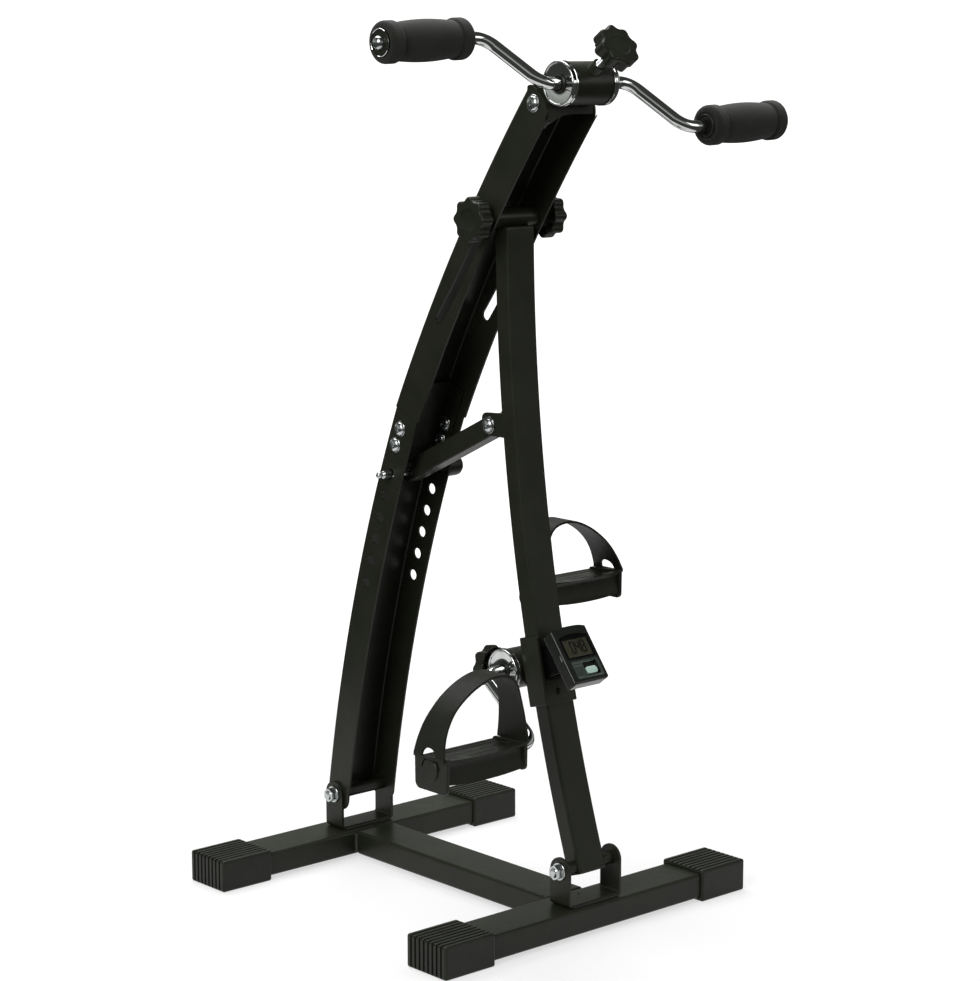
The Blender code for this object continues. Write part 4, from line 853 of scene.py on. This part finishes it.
def hub_bush(name, place, side, body):
    """The bush: a short collar round the crank, with a flange inside the hub."""
    bore, neck, wide = CRANK_RADIUS + GAP, 0.0087, 0.0166
    face, shoulder, back = HUB_HALF - 0.0006, HUB_HALF - RING_WIDTH - GAP, 0.0125
    profile = [(bore, face), (bore + 0.0012, face), (neck, face - 0.0008), (neck, shoulder),
               (wide, shoulder), (wide, back), (bore, back)]
    bush = turned_shape(profile, (0, *place), (side, 0, 0), 56)
    ship(bush, name, "collar", "black_plastic", body)


def grip_ends(side):
    """The inner and outer end of a grip, whose axis leans a little towards the crank's axis."""
    inner, toe = GRIP_INNER[side > 0], 0.0035
    throw_y, throw_z = ARM_CRANK_THROW
    y, z = ARM_HUB[0] - side * throw_y, ARM_HUB[1] - side * throw_z
    start = Vector((side * inner, y, z))
    end = Vector((side * (inner + GRIP_LENGTH), y, z + side * toe))
    return start, start + (end - start).normalized() * GRIP_LENGTH


def arm_crank_corners():
    """The Z of the arm crank, from the end of the left grip to the end of the right one."""
    near, far = 0.0555, 0.0920
    corners = []
    for side in (-1, 1):
        start, end = grip_ends(side)
        along = (end - start).normalized()
        elbow = start + along * (ARM_CRANK_SHIFT + side * far - start.x) / along.x
        shoulder = Vector((ARM_CRANK_SHIFT + side * near, *ARM_HUB))
        corners.append([end, elbow, shoulder])
    return corners[0] + corners[1][::-1]


def pedal_axle(side):
    throw_y, throw_z = FOOT_CRANK_THROW
    return (FOOT_HUB[0] - side * throw_y, FOOT_HUB[1] - side * throw_z)


def foot_crank_corners():
    near, left_elbow, right_elbow = 0.0535, 0.0565, 0.0630
    left, right = pedal_axle(-1), pedal_axle(1)
    end = PEDAL_MIDDLE + PEDAL_HALF - 0.0065
    return [(-end, *left), (-left_elbow, *left), (-near, *FOOT_HUB),
            (near, *FOOT_HUB), (right_elbow, *right), (end, *right)]


def crank(name, corners, bend, body):
    """A round rod along straight runs, with a bend of one radius at each inner corner."""
    corners = [Vector(corner) for corner in corners]
    path = [corners[0]]
    for before, corner, after in zip(corners, corners[1:], corners[2:]):
        path += bend_points(before, corner, after, bend, 14)
    path.append(corners[-1])
    round_rod = {"bevel_depth": CRANK_RADIUS, "bevel_resolution": 12, "use_fill_caps": True}
    bent = curve_object(path, "3D", False, **round_rod)
    ship(bent, name, "steel", "chrome", body, degrees=60)


def grip(name, side, body):
    """Foam with a broad collar at each end and one long swell of the barrel between."""
    start, end = grip_ends(side)
    bore, collar, waist, barrel, length = CRANK_RADIUS + GAP, 0.0193, 0.0171, 0.0193, GRIP_LENGTH
    half = [(0.0128, length - 0.0016), (0.0134, length)]
    half += rolled_edge(collar, length, 0.0048, [pi * s / 12 for s in range(7)])
    half += [(collar, length - 0.0125), (collar - 0.0008, length - 0.0138)]
    half.append((waist, length - 0.0152))
    steps, foot = 12, 0.0160
    for step in range(1, steps + 1):
        share = step / steps
        swell = (barrel - waist) * sin(pi / 2 * share) ** 0.9
        half.append((waist + swell, length - foot - (length / 2 - foot) * share))
    profile = [(bore, length - 0.0016), *half]
    profile += [(radius, length - height) for radius, height in half[-2::-1]]
    profile.append((bore, 0.0016))
    made = turned_shape(profile, start, end - start, 72)
    ship(made, name, "foam", "foam", body, degrees=50)


def grip_cap(name, side, body):
    """A black disc with a bright rim, held by a bright domed bolt, and a ring at the inner end."""
    start, end = grip_ends(side)
    along = (end - start).normalized()
    disc = [(0, 0.0009), (0.0113, 0.0009), (0.0115, 0.0007), (0.0115, 0), (0, 0)]
    nose = [(0, 0.0066), (0.0024, 0.0064), (0.0043, 0.0056), (0.0056, 0.0043), (0.0063, 0.0026),
            (0.0064, 0.0011), (0, 0.0011)]
    rim = [(0.0123, 0.0013), (0.0126, 0.0009), (0.0126, 0), (0.0119, 0), (0.0119, 0.0009)]
    for part, profile, sides, look, slot in (
        ("disc", disc, 56, "black_plastic", "black_plastic"),
        ("bolt", nose, 40, "zinc", "chrome"),
        ("rim", rim, 64, "chrome", "chrome"),
    ):
        made = turned_shape(profile, end + along * GAP, along, sides)
        ship(made, name, part, look, body, slot=slot)
    ring = [(0.0103, 0.0008), (0.0108, 0.0004), (0.0108, -0.0004), (0.0098, -0.0004),
            (0.0098, 0.0008)]
    inner = turned_shape(ring, start - along * GAP, -along, 48)
    add(inner, name.replace("cap", "ring"), "black_plastic", body)


# Star knobs

def star_outline(middle=0.0204, wave=0.0016, points=192):
    """The star from its face: full round lobes with narrower hollows between them."""
    outline = []
    for step in range(points):
        angle = 2 * pi * step / points
        swing = cos(KNOB_LOBES * angle)
        reach = middle + wave * (swing if swing > 0 else -abs(swing) ** 0.75)
        outline.append((reach * cos(angle), reach * sin(angle)))
    return outline


def star_knob(name, seat, direction, boss):
    """A star knob: a flat face and deep round fingers, hollowed and ribbed round its boss."""
    spot = Matrix.Translation(Vector(seat)) @ facing(direction)
    axis = spot.to_3x3() @ Vector((0, 0, 1))
    top = boss + KNOB_THICKNESS
    head = soften(plate(star_outline(), boss, top, spot), 0.0020, 4, 60)
    hollow = [(0.0172, boss + 0.0075), (0.0185, boss + 0.0060), (0.0188, boss - 0.001),
              (0.0112, boss - 0.001), (0.0112, boss + 0.0070), (0.0120, boss + 0.0075)]
    cut(head, turned_shape(hollow, spot.translation, axis, 64))
    for index in range(4):
        turn = spot @ Matrix.Rotation(pi * index / 4 + pi / 8, 4, "Z")
        join(head, block((-0.0195, -0.0008, boss + 0.0010), (0.0195, 0.0008, boss + 0.0090), turn))
    neck = rod((0, 0, 0), (0, 0, boss + 0.004), 0.0110, 56, 0.0116)
    bore = rod((0, 0, -0.01), (0, 0, top - 0.004), BOLT_RADIUS + GAP, 32)
    for piece in (neck, bore):
        piece.matrix_basis = spot @ piece.matrix_basis
    dish = [(0, top + 0.002), (0.0116, top + 0.002), (0.0112, top - 0.0001),
            (0.0098, top - 0.0007), (0, top - 0.0007)]
    cut(join(head, neck), bore, turned_shape(dish, spot.translation, axis, 64))
    ship(head, name, "star", "black_plastic", name, degrees=38)


def stud(name, tip, end):
    """A stud with the ridges of its thread and a small chamfer at the tip."""
    tip, end = Vector(tip), Vector(end)
    length, pitch = (tip - end).length, 0.00125
    profile = [(0, length), (BOLT_RADIUS - 0.0008, length)]
    profile.append((BOLT_RADIUS - 0.0003, length - 0.0006))
    height = length - 0.0008
    while height > pitch:
        profile += [(BOLT_RADIUS, height), (BOLT_RADIUS - 0.0005, height - pitch / 2)]
        height -= pitch
    profile += [(BOLT_RADIUS, 0), (0, 0)]
    ship(turned_shape(profile, end, (tip - end).normalized(), 28), name, "screw", "zinc", name)


def tension_knob(prefix, place, degrees, reach):
    heading = (0, cos(radians(degrees)), sin(radians(degrees)))
    seat, tip, end = (
        (0, *step_along(place, degrees, distance)) for distance in
        (reach - KNOB_THICKNESS / 2 - TENSION_BOSS, 0.0130, reach + KNOB_THICKNESS / 2 - 0.0050)
    )
    stud(prefix + "_stud", tip, end)
    star_knob(prefix + "_knob", seat, heading, TENSION_BOSS - 0.0015)


def clamp_knob(prefix, side):
    reach = CHANNEL_HALF + CLAMP_BOSS + KNOB_THICKNESS - 0.0050
    stud(prefix + "_stud", (side * 0.006, *CLAMP), (side * reach, *CLAMP))
    seat = (side * (CHANNEL_HALF + GAP), *CLAMP)
    star_knob(prefix + "_knob", seat, (side, 0, 0), CLAMP_BOSS)


# Strut

def strut_tube():
    half = STRUT_DEPTH / 2
    low, high = -19.02, -0.352
    body = plate(arc_band(STRUT_ARC, low, high, -half, half, 60), -STRUT_HALF, STRUT_HALF)
    soften(body, 0.0028, 4)
    inside = arc_band(STRUT_ARC, low - 2, high + 2, -half + TUBE_WALL, half - TUBE_WALL, 60)
    cut(body, plate(inside, -STRUT_HALF + TUBE_WALL, STRUT_HALF - TUBE_WALL))
    reach = BRACKET_HALF - BRACKET_PLATE - GAP
    join(body, cross_rod(STRUT_PIVOT, -reach, reach, STRUT_PIVOT_TUBE))
    cut(body, hole(STRUT_PIVOT), hole(CLAMP, CLAMP_SLEEVE_RADIUS + GAP, 64))
    ship(body, "strut_tube", "steel", "black_steel", "strut")


def clamp_sleeve():
    reach = CHANNEL_HALF - CHANNEL_WALL - 2 * GAP
    sleeve = cross_rod(CLAMP, -reach, reach, CLAMP_SLEEVE_RADIUS, 72)
    soften(cut(sleeve, hole(CLAMP)), 0.0006, 3, 50)
    ship(sleeve, "clamp_sleeve", "tube", "black_steel", "strut")


def brace_bracket():
    y, z = BRACE_PIVOT
    inside = BRACE_HALF + 0.0006
    outside = inside + 0.0030
    low, high = z - 0.0105, z + 0.0125
    back, low_back, high_back = (
        strut_y(level) + STRUT_DEPTH / 2 + GAP for level in (z, low, high))
    sheet = [(outside, y + 0.02), (-outside, y + 0.02), (-outside, back), (outside, back)]
    body = plate(sheet, low - 0.01, high + 0.01, PLAN_VIEW)
    cut(body, block((-inside, back + 0.0030, low - 0.02), (inside, 0.1, high + 0.02)))
    rear = y + 0.0105
    side = [(low_back, low), (rear, low), (rear, high - 0.001), (high_back, high + 0.001)]
    keep_common(body, plate(round_corners(side, (2, 0.006, 12), (1, 0.005, 10))))
    cut(body, hole(BRACE_PIVOT))
    ship(deburr(body), "brace_bracket", "sheet", "black_steel", "strut")


def brace_bolt():
    outside = BRACE_HALF + 0.0039
    recess = cross_recess((-outside - 0.0046, *BRACE_PIVOT), 0.0015, 0.0040, 0.0024)
    bolt_set("brace_bolt", "strut", BRACE_PIVOT, -outside, outside, (0.0088, 0.0012),
             (0.0070, 0.0036), recess, (-outside - 0.0006, outside + 0.002, BOLT_RADIUS),
             (0.0055,))


def pin_slot(length, spot):
    """The open slot that lets the tube's end leave the pin, up and towards the bracket."""
    centre, width = (length, 0.0), 0.0096
    path = [centre, step_along(centre, 136, 0.03)]
    return plate(slot_outline(path, width), view=spot @ SIDE_VIEW)


def brace_bar():
    pin = pin_hole(0)
    dy, dz = pin[0] - BRACE_PIVOT[0], pin[1] - BRACE_PIVOT[1]
    length = hypot(dy, dz)
    spot = Matrix.Translation((0, *BRACE_PIVOT)) @ Matrix.Rotation(atan2(dz, dy), 4, "X")
    end = 0.0110
    outline = rounded_rectangle(-end, -BRACE_HALF, length + end, BRACE_HALF, 0.0085, 12)
    body = soften(plate(outline, -BRACE_HALF, BRACE_HALF, spot @ SIDE_VIEW), 0.0016, 3, 60)
    inner = BRACE_HALF - TUBE_WALL
    cut(body, block((-inner, -THROUGH, -inner), (inner, length + THROUGH, inner), spot))
    cut(body, pin_slot(length, spot), hole(BRACE_PIVOT))
    ship(body, "brace_bar", "tube", "black_steel", "brace")


def pedal_hub_bracket():
    low, high, web_top, wall = -14.10, -12.10, 0.2430, 0.0025
    inside = STRUT_HALF + GAP
    half = STRUT_DEPTH / 2 + GAP
    band = arc_band(STRUT_ARC, low, high, -half - wall, half + wall, 12)
    body = soften(plate(band, -inside - wall - 0.0010, inside + 0.0012), 0.0010, 3)
    cut(body, plate(arc_band(STRUT_ARC, low - 2, high + 2, -half, half, 20), -inside, inside))
    middle = strut_y(web_top)
    cut(body, block((-inside, middle - 0.04, web_top), (inside, middle, 0.30)))
    cut(body, hole(FOOT_HUB, RING_RADIUS + 2 * GAP, 64))
    foot, head = 0.232, 0.262
    saddle = [(strut_y(z) + half + wall - 0.001, z) for z in (foot, head)]
    saddle = plate(saddle + [(FOOT_HUB[0], head), (FOOT_HUB[0], foot)], -0.0120, 0.0120)
    join(body, cut(saddle, hole(FOOT_HUB, HUB_RADIUS + GAP, 64)))
    hole_x, hole_z = -0.0040, 0.2315
    cut(body, rod((hole_x, middle - 0.04, hole_z), (hole_x, middle, hole_z), 0.0034, 28))
    ship(body, "pedal_hub_bracket", "sheet", "black_steel", "strut")


# Pedals

def tread_height(across):
    """The height of the tread over the axle: it falls to the rear, then rises a little."""
    quarter = PEDAL_HALF_DEPTH / 2
    if across < -quarter:
        return 0.0105 - 0.0030 * (across + PEDAL_HALF_DEPTH) / quarter
    if across < quarter:
        return 0.0075 - 0.0025 * (across + quarter) / PEDAL_HALF_DEPTH
    return 0.0050 + 0.0010 * (across - quarter) / quarter


def pedal_sag(side, z):
    """The pedal from the front: its top and bottom edges sag a little between the end plates."""
    steps, sag, bottom, top = 24, 0.0030, -0.0135, 0.0105
    shares = [2 * step / steps - 1 for step in range(steps + 1)]
    drops = [(side * PEDAL_MIDDLE + s * PEDAL_HALF, sag * (1 - s * s)) for s in shares]
    upper = [(x, z + top - drop) for x, drop in drops]
    return [(x, z + bottom - drop) for x, drop in drops] + upper[::-1]


def tread_grooves(side, y, z):
    grooves = bmesh.new()
    middle, reach = side * PEDAL_MIDDLE, PEDAL_HALF - 0.0060
    for index in range(9):
        across = -0.0170 + 0.0045 * index
        low = (middle - reach, y + across - 0.0005, z + tread_height(across) - 0.0007)
        add_box(grooves, low, (middle + reach, y + across + 0.0005, z + 0.0300))
    return object_of(grooves, "tread_grooves")


def pedal_body(name, side):
    """A sagging, finely ribbed tread with a deep lipped skirt, and a plate at each end."""
    y, z = pedal_axle(side)
    inner, outer = PEDAL_MIDDLE - PEDAL_HALF, PEDAL_MIDDLE + PEDAL_HALF
    front, rear = y - PEDAL_HALF_DEPTH, y + PEDAL_HALF_DEPTH
    tread = [(front, z + 0.0105), (front, z + 0.0078), (front + 0.0032, z + 0.0040),
             (front + 0.0034, z - 0.0020), (front + 0.0014, z - 0.0100),
             (front + 0.0008, z - 0.0165), (rear - 0.0030, z - 0.0165), (rear, z + 0.0060),
             (y + PEDAL_HALF_DEPTH / 2, z + 0.0050), (y - PEDAL_HALF_DEPTH / 2, z + 0.0075)]
    tread = round_corners(tread, (9, 0.010, 8), (8, 0.010, 8))
    body = plate(tread, side * (inner + 0.001), side * (outer - 0.001))
    keep_common(body, plate(pedal_sag(side, z), -y - THROUGH, -y + THROUGH, FRONT_VIEW))
    soften(body, 0.0009, 3, 30)
    cut(body, tread_grooves(side, y, z))
    ends = sorted((side * (inner + 0.005), side * (outer - 0.0065)))
    cut(body, block((ends[0], front + 0.0070, z - 0.03), (ends[1], rear - 0.0070, z - 0.0085)))
    inner_foot, outer_foot = ((0.0170, 0.0235), (0.0193, 0.0193))[side > 0]
    for start, foot in ((inner, inner_foot), (outer - PEDAL_PLATE, outer_foot)):
        outline = [(y - 0.0230, z + 0.0110), (front, z - foot), (rear, z - foot),
                   (y + 0.0230, z + 0.0080)]
        outline = round_corners(
            outline, (3, 0.0020, 4), (2, 0.0070, 10), (1, 0.0050, 8), (0, 0.0015, 4))
        end = plate(outline, side * start, side * (start + PEDAL_PLATE))
        join(body, soften(end, 0.0008, 2, 60))
    bore = CRANK_RADIUS + GAP
    cut(body, cross_rod((y, z), side * (inner - 0.01), side * (outer - 0.0060), bore))
    disc = [(0, 0.0017), (0.0098, 0.0017), (0.0105, 0.0010), (0.0105, 0), (0, 0)]
    ring = [(0.0112, 0.0010), (0.0130, 0.0010), (0.0130, -0.0013), (0.0112, -0.0013)]
    boss, heading = (y, z - 0.0030), (side, 0, 0)
    join(body, turned_shape(disc, (side * (outer - 0.0002), *boss), heading, 64))
    crescent = turned_shape(ring, (side * outer, *boss), heading, 64)
    below = block((-PAST_PEDALS, y - 0.02, z - 0.03), (PAST_PEDALS, y + 0.02, z - 0.0010))
    cut(crescent, below)
    ship(cut(body, crescent), name, "moulding", "black_plastic", name)


def strap_outline(side, steps=60):
    """The arch of a toe strap seen from the front, straighter outside and full inside."""
    z = pedal_axle(side)[1]
    half, wall, lean = PEDAL_HALF + 2 * GAP, 0.0024, 0.0180
    height, slope = STRAP_HEIGHT[side > 0], STRAP_SLOPE[side > 0]
    foot, spring = z + 0.0080, z + 0.0110
    outside, inside = [], []
    for step in range(steps + 1):
        angle = pi * step / steps
        rise = abs(sin(angle)) ** 0.90
        across = cos(angle)
        if across * side > 0:
            across = (1 - slope) * across + slope * side * (1 - rise)
        else:
            across = -side * abs(across) ** 0.82
        shift = side * PEDAL_MIDDLE - side * lean * rise ** 3
        outside.append((shift + across * (half + wall), spring + rise * height))
        inside.append((shift + across * half, spring + rise * (height - wall)))
    outside, inside = ([(run[0][0], foot), *run, (run[-1][0], foot)] for run in (outside, inside))
    return outside + inside[::-1]


def pedal_strap(name, side, body):
    y, z = pedal_axle(side)
    arch = plate(strap_outline(side), -y - 0.0215, -y + 0.0215, FRONT_VIEW)
    edge = [(0.0210, 0), (0.0210, 0.0110), (0.0180, 0.0300), (0.0152, 0.0520), (0.0145, 0.1200)]
    taper = [(y + out, z + up) for out, up in edge] + [(y - out, z + up) for out, up in edge[::-1]]
    taper = round_corners(taper, *((index, 0.012, 8) for index in (8, 7, 6, 3, 2, 1)))
    keep_common(arch, plate(taper, -PAST_PEDALS, PAST_PEDALS))
    angles = [pi * s / 20 for s in range(21)]
    window = [(y + 0.0096 * cos(a), z + 0.0098 + 0.0088 * sin(a) ** 0.8) for a in angles]
    cut(arch, plate(window, side * 0.15, side * 0.25))
    ship(soften(arch, 0.0006, 3, 50), name, "band", "strap_rubber", body, degrees=45)


# Counter

def counter_frame():
    """Frame of the counter: x across, y up its face, z out of its face."""
    (top_y, top_z), (foot_y, foot_z) = COUNTER_TOP, COUNTER_BOTTOM
    across = Vector((1, 0, 0))
    rise = Vector((0, top_y - foot_y, top_z - foot_z)).normalized()
    axes = Matrix((across, rise, across.cross(rise))).transposed().to_4x4()
    return Matrix.Translation((0, (top_y + foot_y) / 2, (top_z + foot_z) / 2)) @ axes


def counter_outline(half_long):
    """The counter's face: a crowned top edge and rounded corners."""
    half, tall = COUNTER_HALF + 0.0001, half_long + 0.0001
    outline = [(-half, -tall), (half, -tall)]
    for step in range(17):
        share = 1 - step / 8
        outline.append((half * share, tall - 0.0036 * abs(share) ** 2.4))
    corners = ((-1, 0.0022), (2, 0.0022), (1, 0.0055), (0, 0.0022))
    return round_corners(outline, *((index, radius, 6) for index, radius in corners))


def sunk(rectangle, foot, spot):
    """The cutter for a rectangular recess in the counter's face."""
    left, low, right, high = rectangle
    return block((left, low, foot), (right, high, 0.01), spot)


def counter_face(spot):
    """What lies on the face: the lens with its arched top, the panel, its lines and the digits."""
    left, foot, right, top = -0.0185, -0.0050, 0.0188, 0.0185
    arch = [(left, foot), (right, foot), (right, top)]
    arch += [(right - 0.0373 * s / 12, top + 0.0030 * sin(pi * s / 12)) for s in range(1, 12)]
    arch = round_corners([*arch, (left, top)], *((index, 0.0018, 4) for index in (-1, 2, 1, 0)))
    lens = plate(arch, -0.0001, 0.0005, spot)
    cut(lens, sunk(COUNTER_WINDOW, -0.002, spot))
    add(soften(lens, 0.0002, 2), "counter_lens_frame", "counter_lens", "strut", "counter_plastic")
    panel = rounded_rectangle(-0.0165, -0.0262, 0.0185, -0.0070, 0.0022, 5)
    sheet = plate(panel, -0.0001, 0.0004, spot)
    cut(sheet, plate(rounded_rectangle(*COUNTER_WELL, 0.0030, 8), -0.002, 0.01, spot))
    add(sheet, "counter_panel_sheet", "counter_panel", "strut", "counter_plastic")
    lines = bmesh.new()
    for left, foot, right, top in (
        (-0.0150, -0.0098, 0.0120, -0.0092), (-0.0150, -0.0128, -0.0055, -0.0122),
        (-0.0150, -0.0248, -0.0075, -0.0240), (-0.0060, -0.0252, 0.0165, -0.0246),
    ):
        add_box(lines, (left, foot, 0.0002), (right, top, 0.0006))
    marks = object_of(lines, "counter_lines", spot)
    add(marks, "counter_panel_lines", "counter_line", "strut", "counter_plastic")
    ink = bmesh.new()
    for place, digit in enumerate("048"):
        draw_digit(ink, digit, -0.0074 + 0.0068 * place)
    digits = object_of(ink, "counter_digits", spot)
    add(digits, "counter_digits_ink", "digit_ink", "strut", "display_glass")


def draw_digit(shape, digit, left):
    """One plain seven-segment digit of thin bars, standing just proud of the display."""
    foot, wide, tall = 0.0012, 0.0044, 0.0118
    for name, (x0, y0, x1, y1) in SEGMENTS.items():
        if name in UNLIT[digit]:
            continue
        across, along = (-0.0004, 0.0007) if y0 == y1 else (0.0007, -0.0004)
        low = (left + wide * x0 - across, foot + tall * y0 - along, -0.0003)
        add_box(shape, low, (left + wide * x1 + across, foot + tall * y1 + along, 0.0000))


def counter():
    """The case with its sunk display under an arched lens, a lower panel and a recessed key."""
    spot = counter_frame()
    half_long = hypot(COUNTER_TOP[0] - COUNTER_BOTTOM[0], COUNTER_TOP[1] - COUNTER_BOTTOM[1]) / 2
    side = -COUNTER_HALF
    case = block((side, -half_long, -COUNTER_DEPTH), (COUNTER_HALF, half_long, 0), spot)
    soften(case, 0.0020, 4)
    keep_common(case, plate(counter_outline(half_long), -COUNTER_DEPTH - 0.01, 0.01, spot))
    cut(case, sunk(COUNTER_WINDOW, -0.0016, spot))
    cut(case, plate(rounded_rectangle(*COUNTER_WELL, 0.0030, 8), -0.0034, 0.01, spot))
    cut(case, block((side - 0.002, -0.0040, -0.0050), (side + 0.0012, 0.0030, -0.0022), spot))
    ship(deburr(case, 0.0003), "counter_case", "moulding", "counter_plastic", "strut")
    glass = block((-0.0157, -0.0029, -0.0013), (0.0163, 0.0157, -0.0002), spot)
    ship(soften(glass, 0.0003, 2), "counter_window", "glass", "display_glass", "strut")
    counter_face(spot)
    # A bright zinc strip in the slot on the left side: the slot is a real recess, and the strip's
    # brightness is a painted highlight for the light line along the case's front edge.
    highlight_strip = block((side + 0.0001, -0.0036, -0.0047), (side + 0.0014, 0.0026, -0.0025), spot)
    add(soften(highlight_strip, 0.0003, 2), "counter_side_highlight_strip", "zinc", "strut")
    key = rounded_rectangle(-0.0018, -0.0224, 0.0120, -0.0150, 0.0028, 8)
    button = soften(plate(key, -0.0020, 0.0008, spot), 0.0006, 4, 30)
    ship(button, "counter_button", "key", "button_mint", "counter_button")
    back = -COUNTER_DEPTH - GAP
    ends = [spot @ Vector((0, half_long * share, back)) for share in (0.62, -0.34)]
    reach = STRUT_DEPTH / 2 + 2 * GAP
    outline = [(end.y, end.z) for end in ends]
    outline += [(strut_y(z) - reach, z) for z in (0.2440, 0.2600, 0.2760)]
    # The wedge spans nearly the strut's width and takes the lens's near-black gloss, darker than
    # the other black plastic: a black plastic mount, darkened further as painted shade for the
    # deep shade under the counter.
    wedge = soften(plate(outline, -0.0160, 0.0160), 0.0010, 3)
    ship(wedge, "counter_bracket", "wedge", "counter_lens", "strut", slot="counter_plastic")


def lock_pin():
    """The bright pin with a necked round tip, and its black knob on the right."""
    place, left, right = pin_hole(0), -0.0500, CHANNEL_HALF + 3 * GAP
    angles = [pi * s / 10 for s in range(8, -1, -1)]
    bar = [(0, 0.097), (BOLT_RADIUS, 0.097), (BOLT_RADIUS, 0.0084), (0.0030, 0.0072)]
    bar += [(0.0036 * sin(a), 0.0036 - 0.0036 * cos(a)) for a in angles]
    add(turned_shape(bar, (left, *place), RIGHT, 40), "lock_pin_steel", "zinc", "lock_pin")
    knob = [(0, 0.0270), (0.0050, 0.0269), (0.0084, 0.0258), (0.0102, 0.0235), (0.0108, 0.0205),
            (0.0108, 0.0060), (0.0102, 0.0046), (0.0095, 0.0040), (0.0095, 0.0004), (0.0091, 0),
            (0, 0)]
    handle = turned_shape(knob, (right, *place), RIGHT, 64)
    ship(handle, "lock_pin", "knob", "black_plastic", "lock_pin")


# Stage

def pale_surface(name, tone, glow):
    """Plain white paper, lit evenly enough from within to stay white."""
    made = bpy.data.materials.new(name)
    made.use_nodes = True
    set_inputs(made.node_tree.nodes["Principled BSDF"], {
        "Base Color": (tone, tone, tone, 1),
        "Roughness": 0.9,
        "Specular IOR Level": 0.1,
        "Emission Color": (1, 1, 1, 1),
        "Emission Strength": glow,
    })
    return made


def studio():
    """A pale floor under soft lights, in a dim room, with a plain white backdrop all round."""
    floor_shape, backdrop_shape = bmesh.new(), bmesh.new()
    bmesh.ops.create_circle(floor_shape, cap_ends=True, segments=96, radius=FLOOR_RADIUS)
    bmesh.ops.create_uvsphere(backdrop_shape, u_segments=64, v_segments=32, radius=40)
    floor = object_of(floor_shape, "floor")
    backdrop = object_of(backdrop_shape, "backdrop")
    floor.data.materials.append(pale_surface("floor_paper", 0.40, 0.62))
    backdrop.data.materials.append(pale_surface("backdrop_paper", 0.80, 1.10))
    for piece in (floor, backdrop):
        piece.visible_diffuse = False
        show(piece)
    configure(backdrop, visible_glossy=False, visible_transmission=False, visible_shadow=False)
    studio_sky()
    bpy.context.scene.view_settings.view_transform = "Standard"
    soft_light("top_softbox", (0.3, 0.9, 3.0), (0, 0, 0.4), 2.6, 95)
    soft_light("left_softbox", (-2.6, -0.9, 1.9), (0, 0, 0.65), 1.6, 50)
    soft_light("right_softbox", (1.6, -2.6, 1.7), (0, 0, 0.65), 1.4, 13)


def studio_sky():
    """A dim room: its light depends on height alone, with a grey band above the horizon."""
    world = bpy.data.worlds.new("studio")
    world.use_nodes = True
    tree = world.node_tree
    coords = tree.nodes.new("ShaderNodeTexCoord")
    height = tree.nodes.new("ShaderNodeSeparateXYZ")
    ramp = tree.nodes.new("ShaderNodeValToRGB")
    stops = ((0.0, 0.06), (0.04, 0.62), (0.22, 0.44), (0.50, 0.06), (1.0, 0.06))
    for place, level in stops[1:-1]:
        ramp.color_ramp.elements.new(place)
    for element, (place, level) in zip(ramp.color_ramp.elements, stops):
        element.position = place
        element.color = (level * 0.96, level, level * 0.93, 1)
    tree.links.new(coords.outputs["Generated"], height.inputs["Vector"])
    tree.links.new(height.outputs["Z"], ramp.inputs["Fac"])
    tree.links.new(ramp.outputs["Color"], tree.nodes["Background"].inputs["Color"])
    set_inputs(tree.nodes["Background"], {"Strength": 1.0})
    bpy.context.scene.world = world


def soft_light(name, place, target, size, power):
    data = bpy.data.lights.new(name, "AREA")
    configure(data, shape="SQUARE", size=size, energy=power)
    light = bpy.data.objects.new(name, data)
    light.location = place
    light.rotation_euler = (Vector(target) - Vector(place)).to_track_quat("-Z", "Y").to_euler()
    show(light)


def camera():
    """The photograph's own view, from the left of the machine's user side."""
    data = bpy.data.cameras.new("photo_camera")
    configure(data, sensor_width=36, lens=96.78, clip_start=0.05, clip_end=200)
    cam = bpy.data.objects.new("photo_camera", data)
    cam.location = Vector((-1.717807, -1.952890, 0.855165)) + SHIFT
    cam.rotation_euler = (radians(80.303847), 0, radians(-41.873407))
    show(cam)
    bpy.context.scene.camera = cam


def dress():
    make_materials()
    base_tubes()
    for end, y in (("front", -BAR_Y), ("rear", BAR_Y)):
        for hand, side in HANDS:
            end_cap(f"cap_{end}_{hand}", side, y)
    for name, pivot in (("front", STRUT_PIVOT), ("rear", COLUMN_PIVOT)):
        pivot_bracket(name + "_bracket", pivot)
        pivot_bolt(name + "_pivot_bolt", pivot)
    lower_column()
    upper_column()
    column_joiner()
    for level, place in zip(("upper", "lower"), COLUMN_BOLTS):
        for hand, side in HANDS:
            column_bolt(f"column_bolt_{level}_{hand}", side, place)
    arm_hub_bracket()
    arm_bracket_bolt()
    hub("arm", ARM_HUB, ARM_KNOB_DEGREES, "column")
    hub("foot", FOOT_HUB, FOOT_KNOB_DEGREES, "strut")
    crank("arm_crank_rod", arm_crank_corners(), 0.0240, "arm_crank")
    crank("foot_crank_rod", foot_crank_corners(), 0.0150, "foot_crank")
    tension_knob("arm_tension", ARM_HUB, ARM_KNOB_DEGREES, ARM_KNOB_REACH)
    tension_knob("foot_tension", FOOT_HUB, FOOT_KNOB_DEGREES, FOOT_KNOB_REACH)
    strut_tube()
    clamp_sleeve()
    brace_bracket()
    brace_bolt()
    brace_bar()
    pedal_hub_bracket()
    counter()
    lock_pin()
    for hand, side in HANDS:
        grip(f"grip_{hand}", side, f"grip_{hand}")
        grip_cap(f"grip_cap_{hand}", side, "arm_crank")
        clamp_knob(f"clamp_{hand}", side)
        pedal_body(f"pedal_{hand}", side)
        pedal_strap(f"pedal_strap_{hand}", side, f"pedal_{hand}")


dress()
studio()
camera()
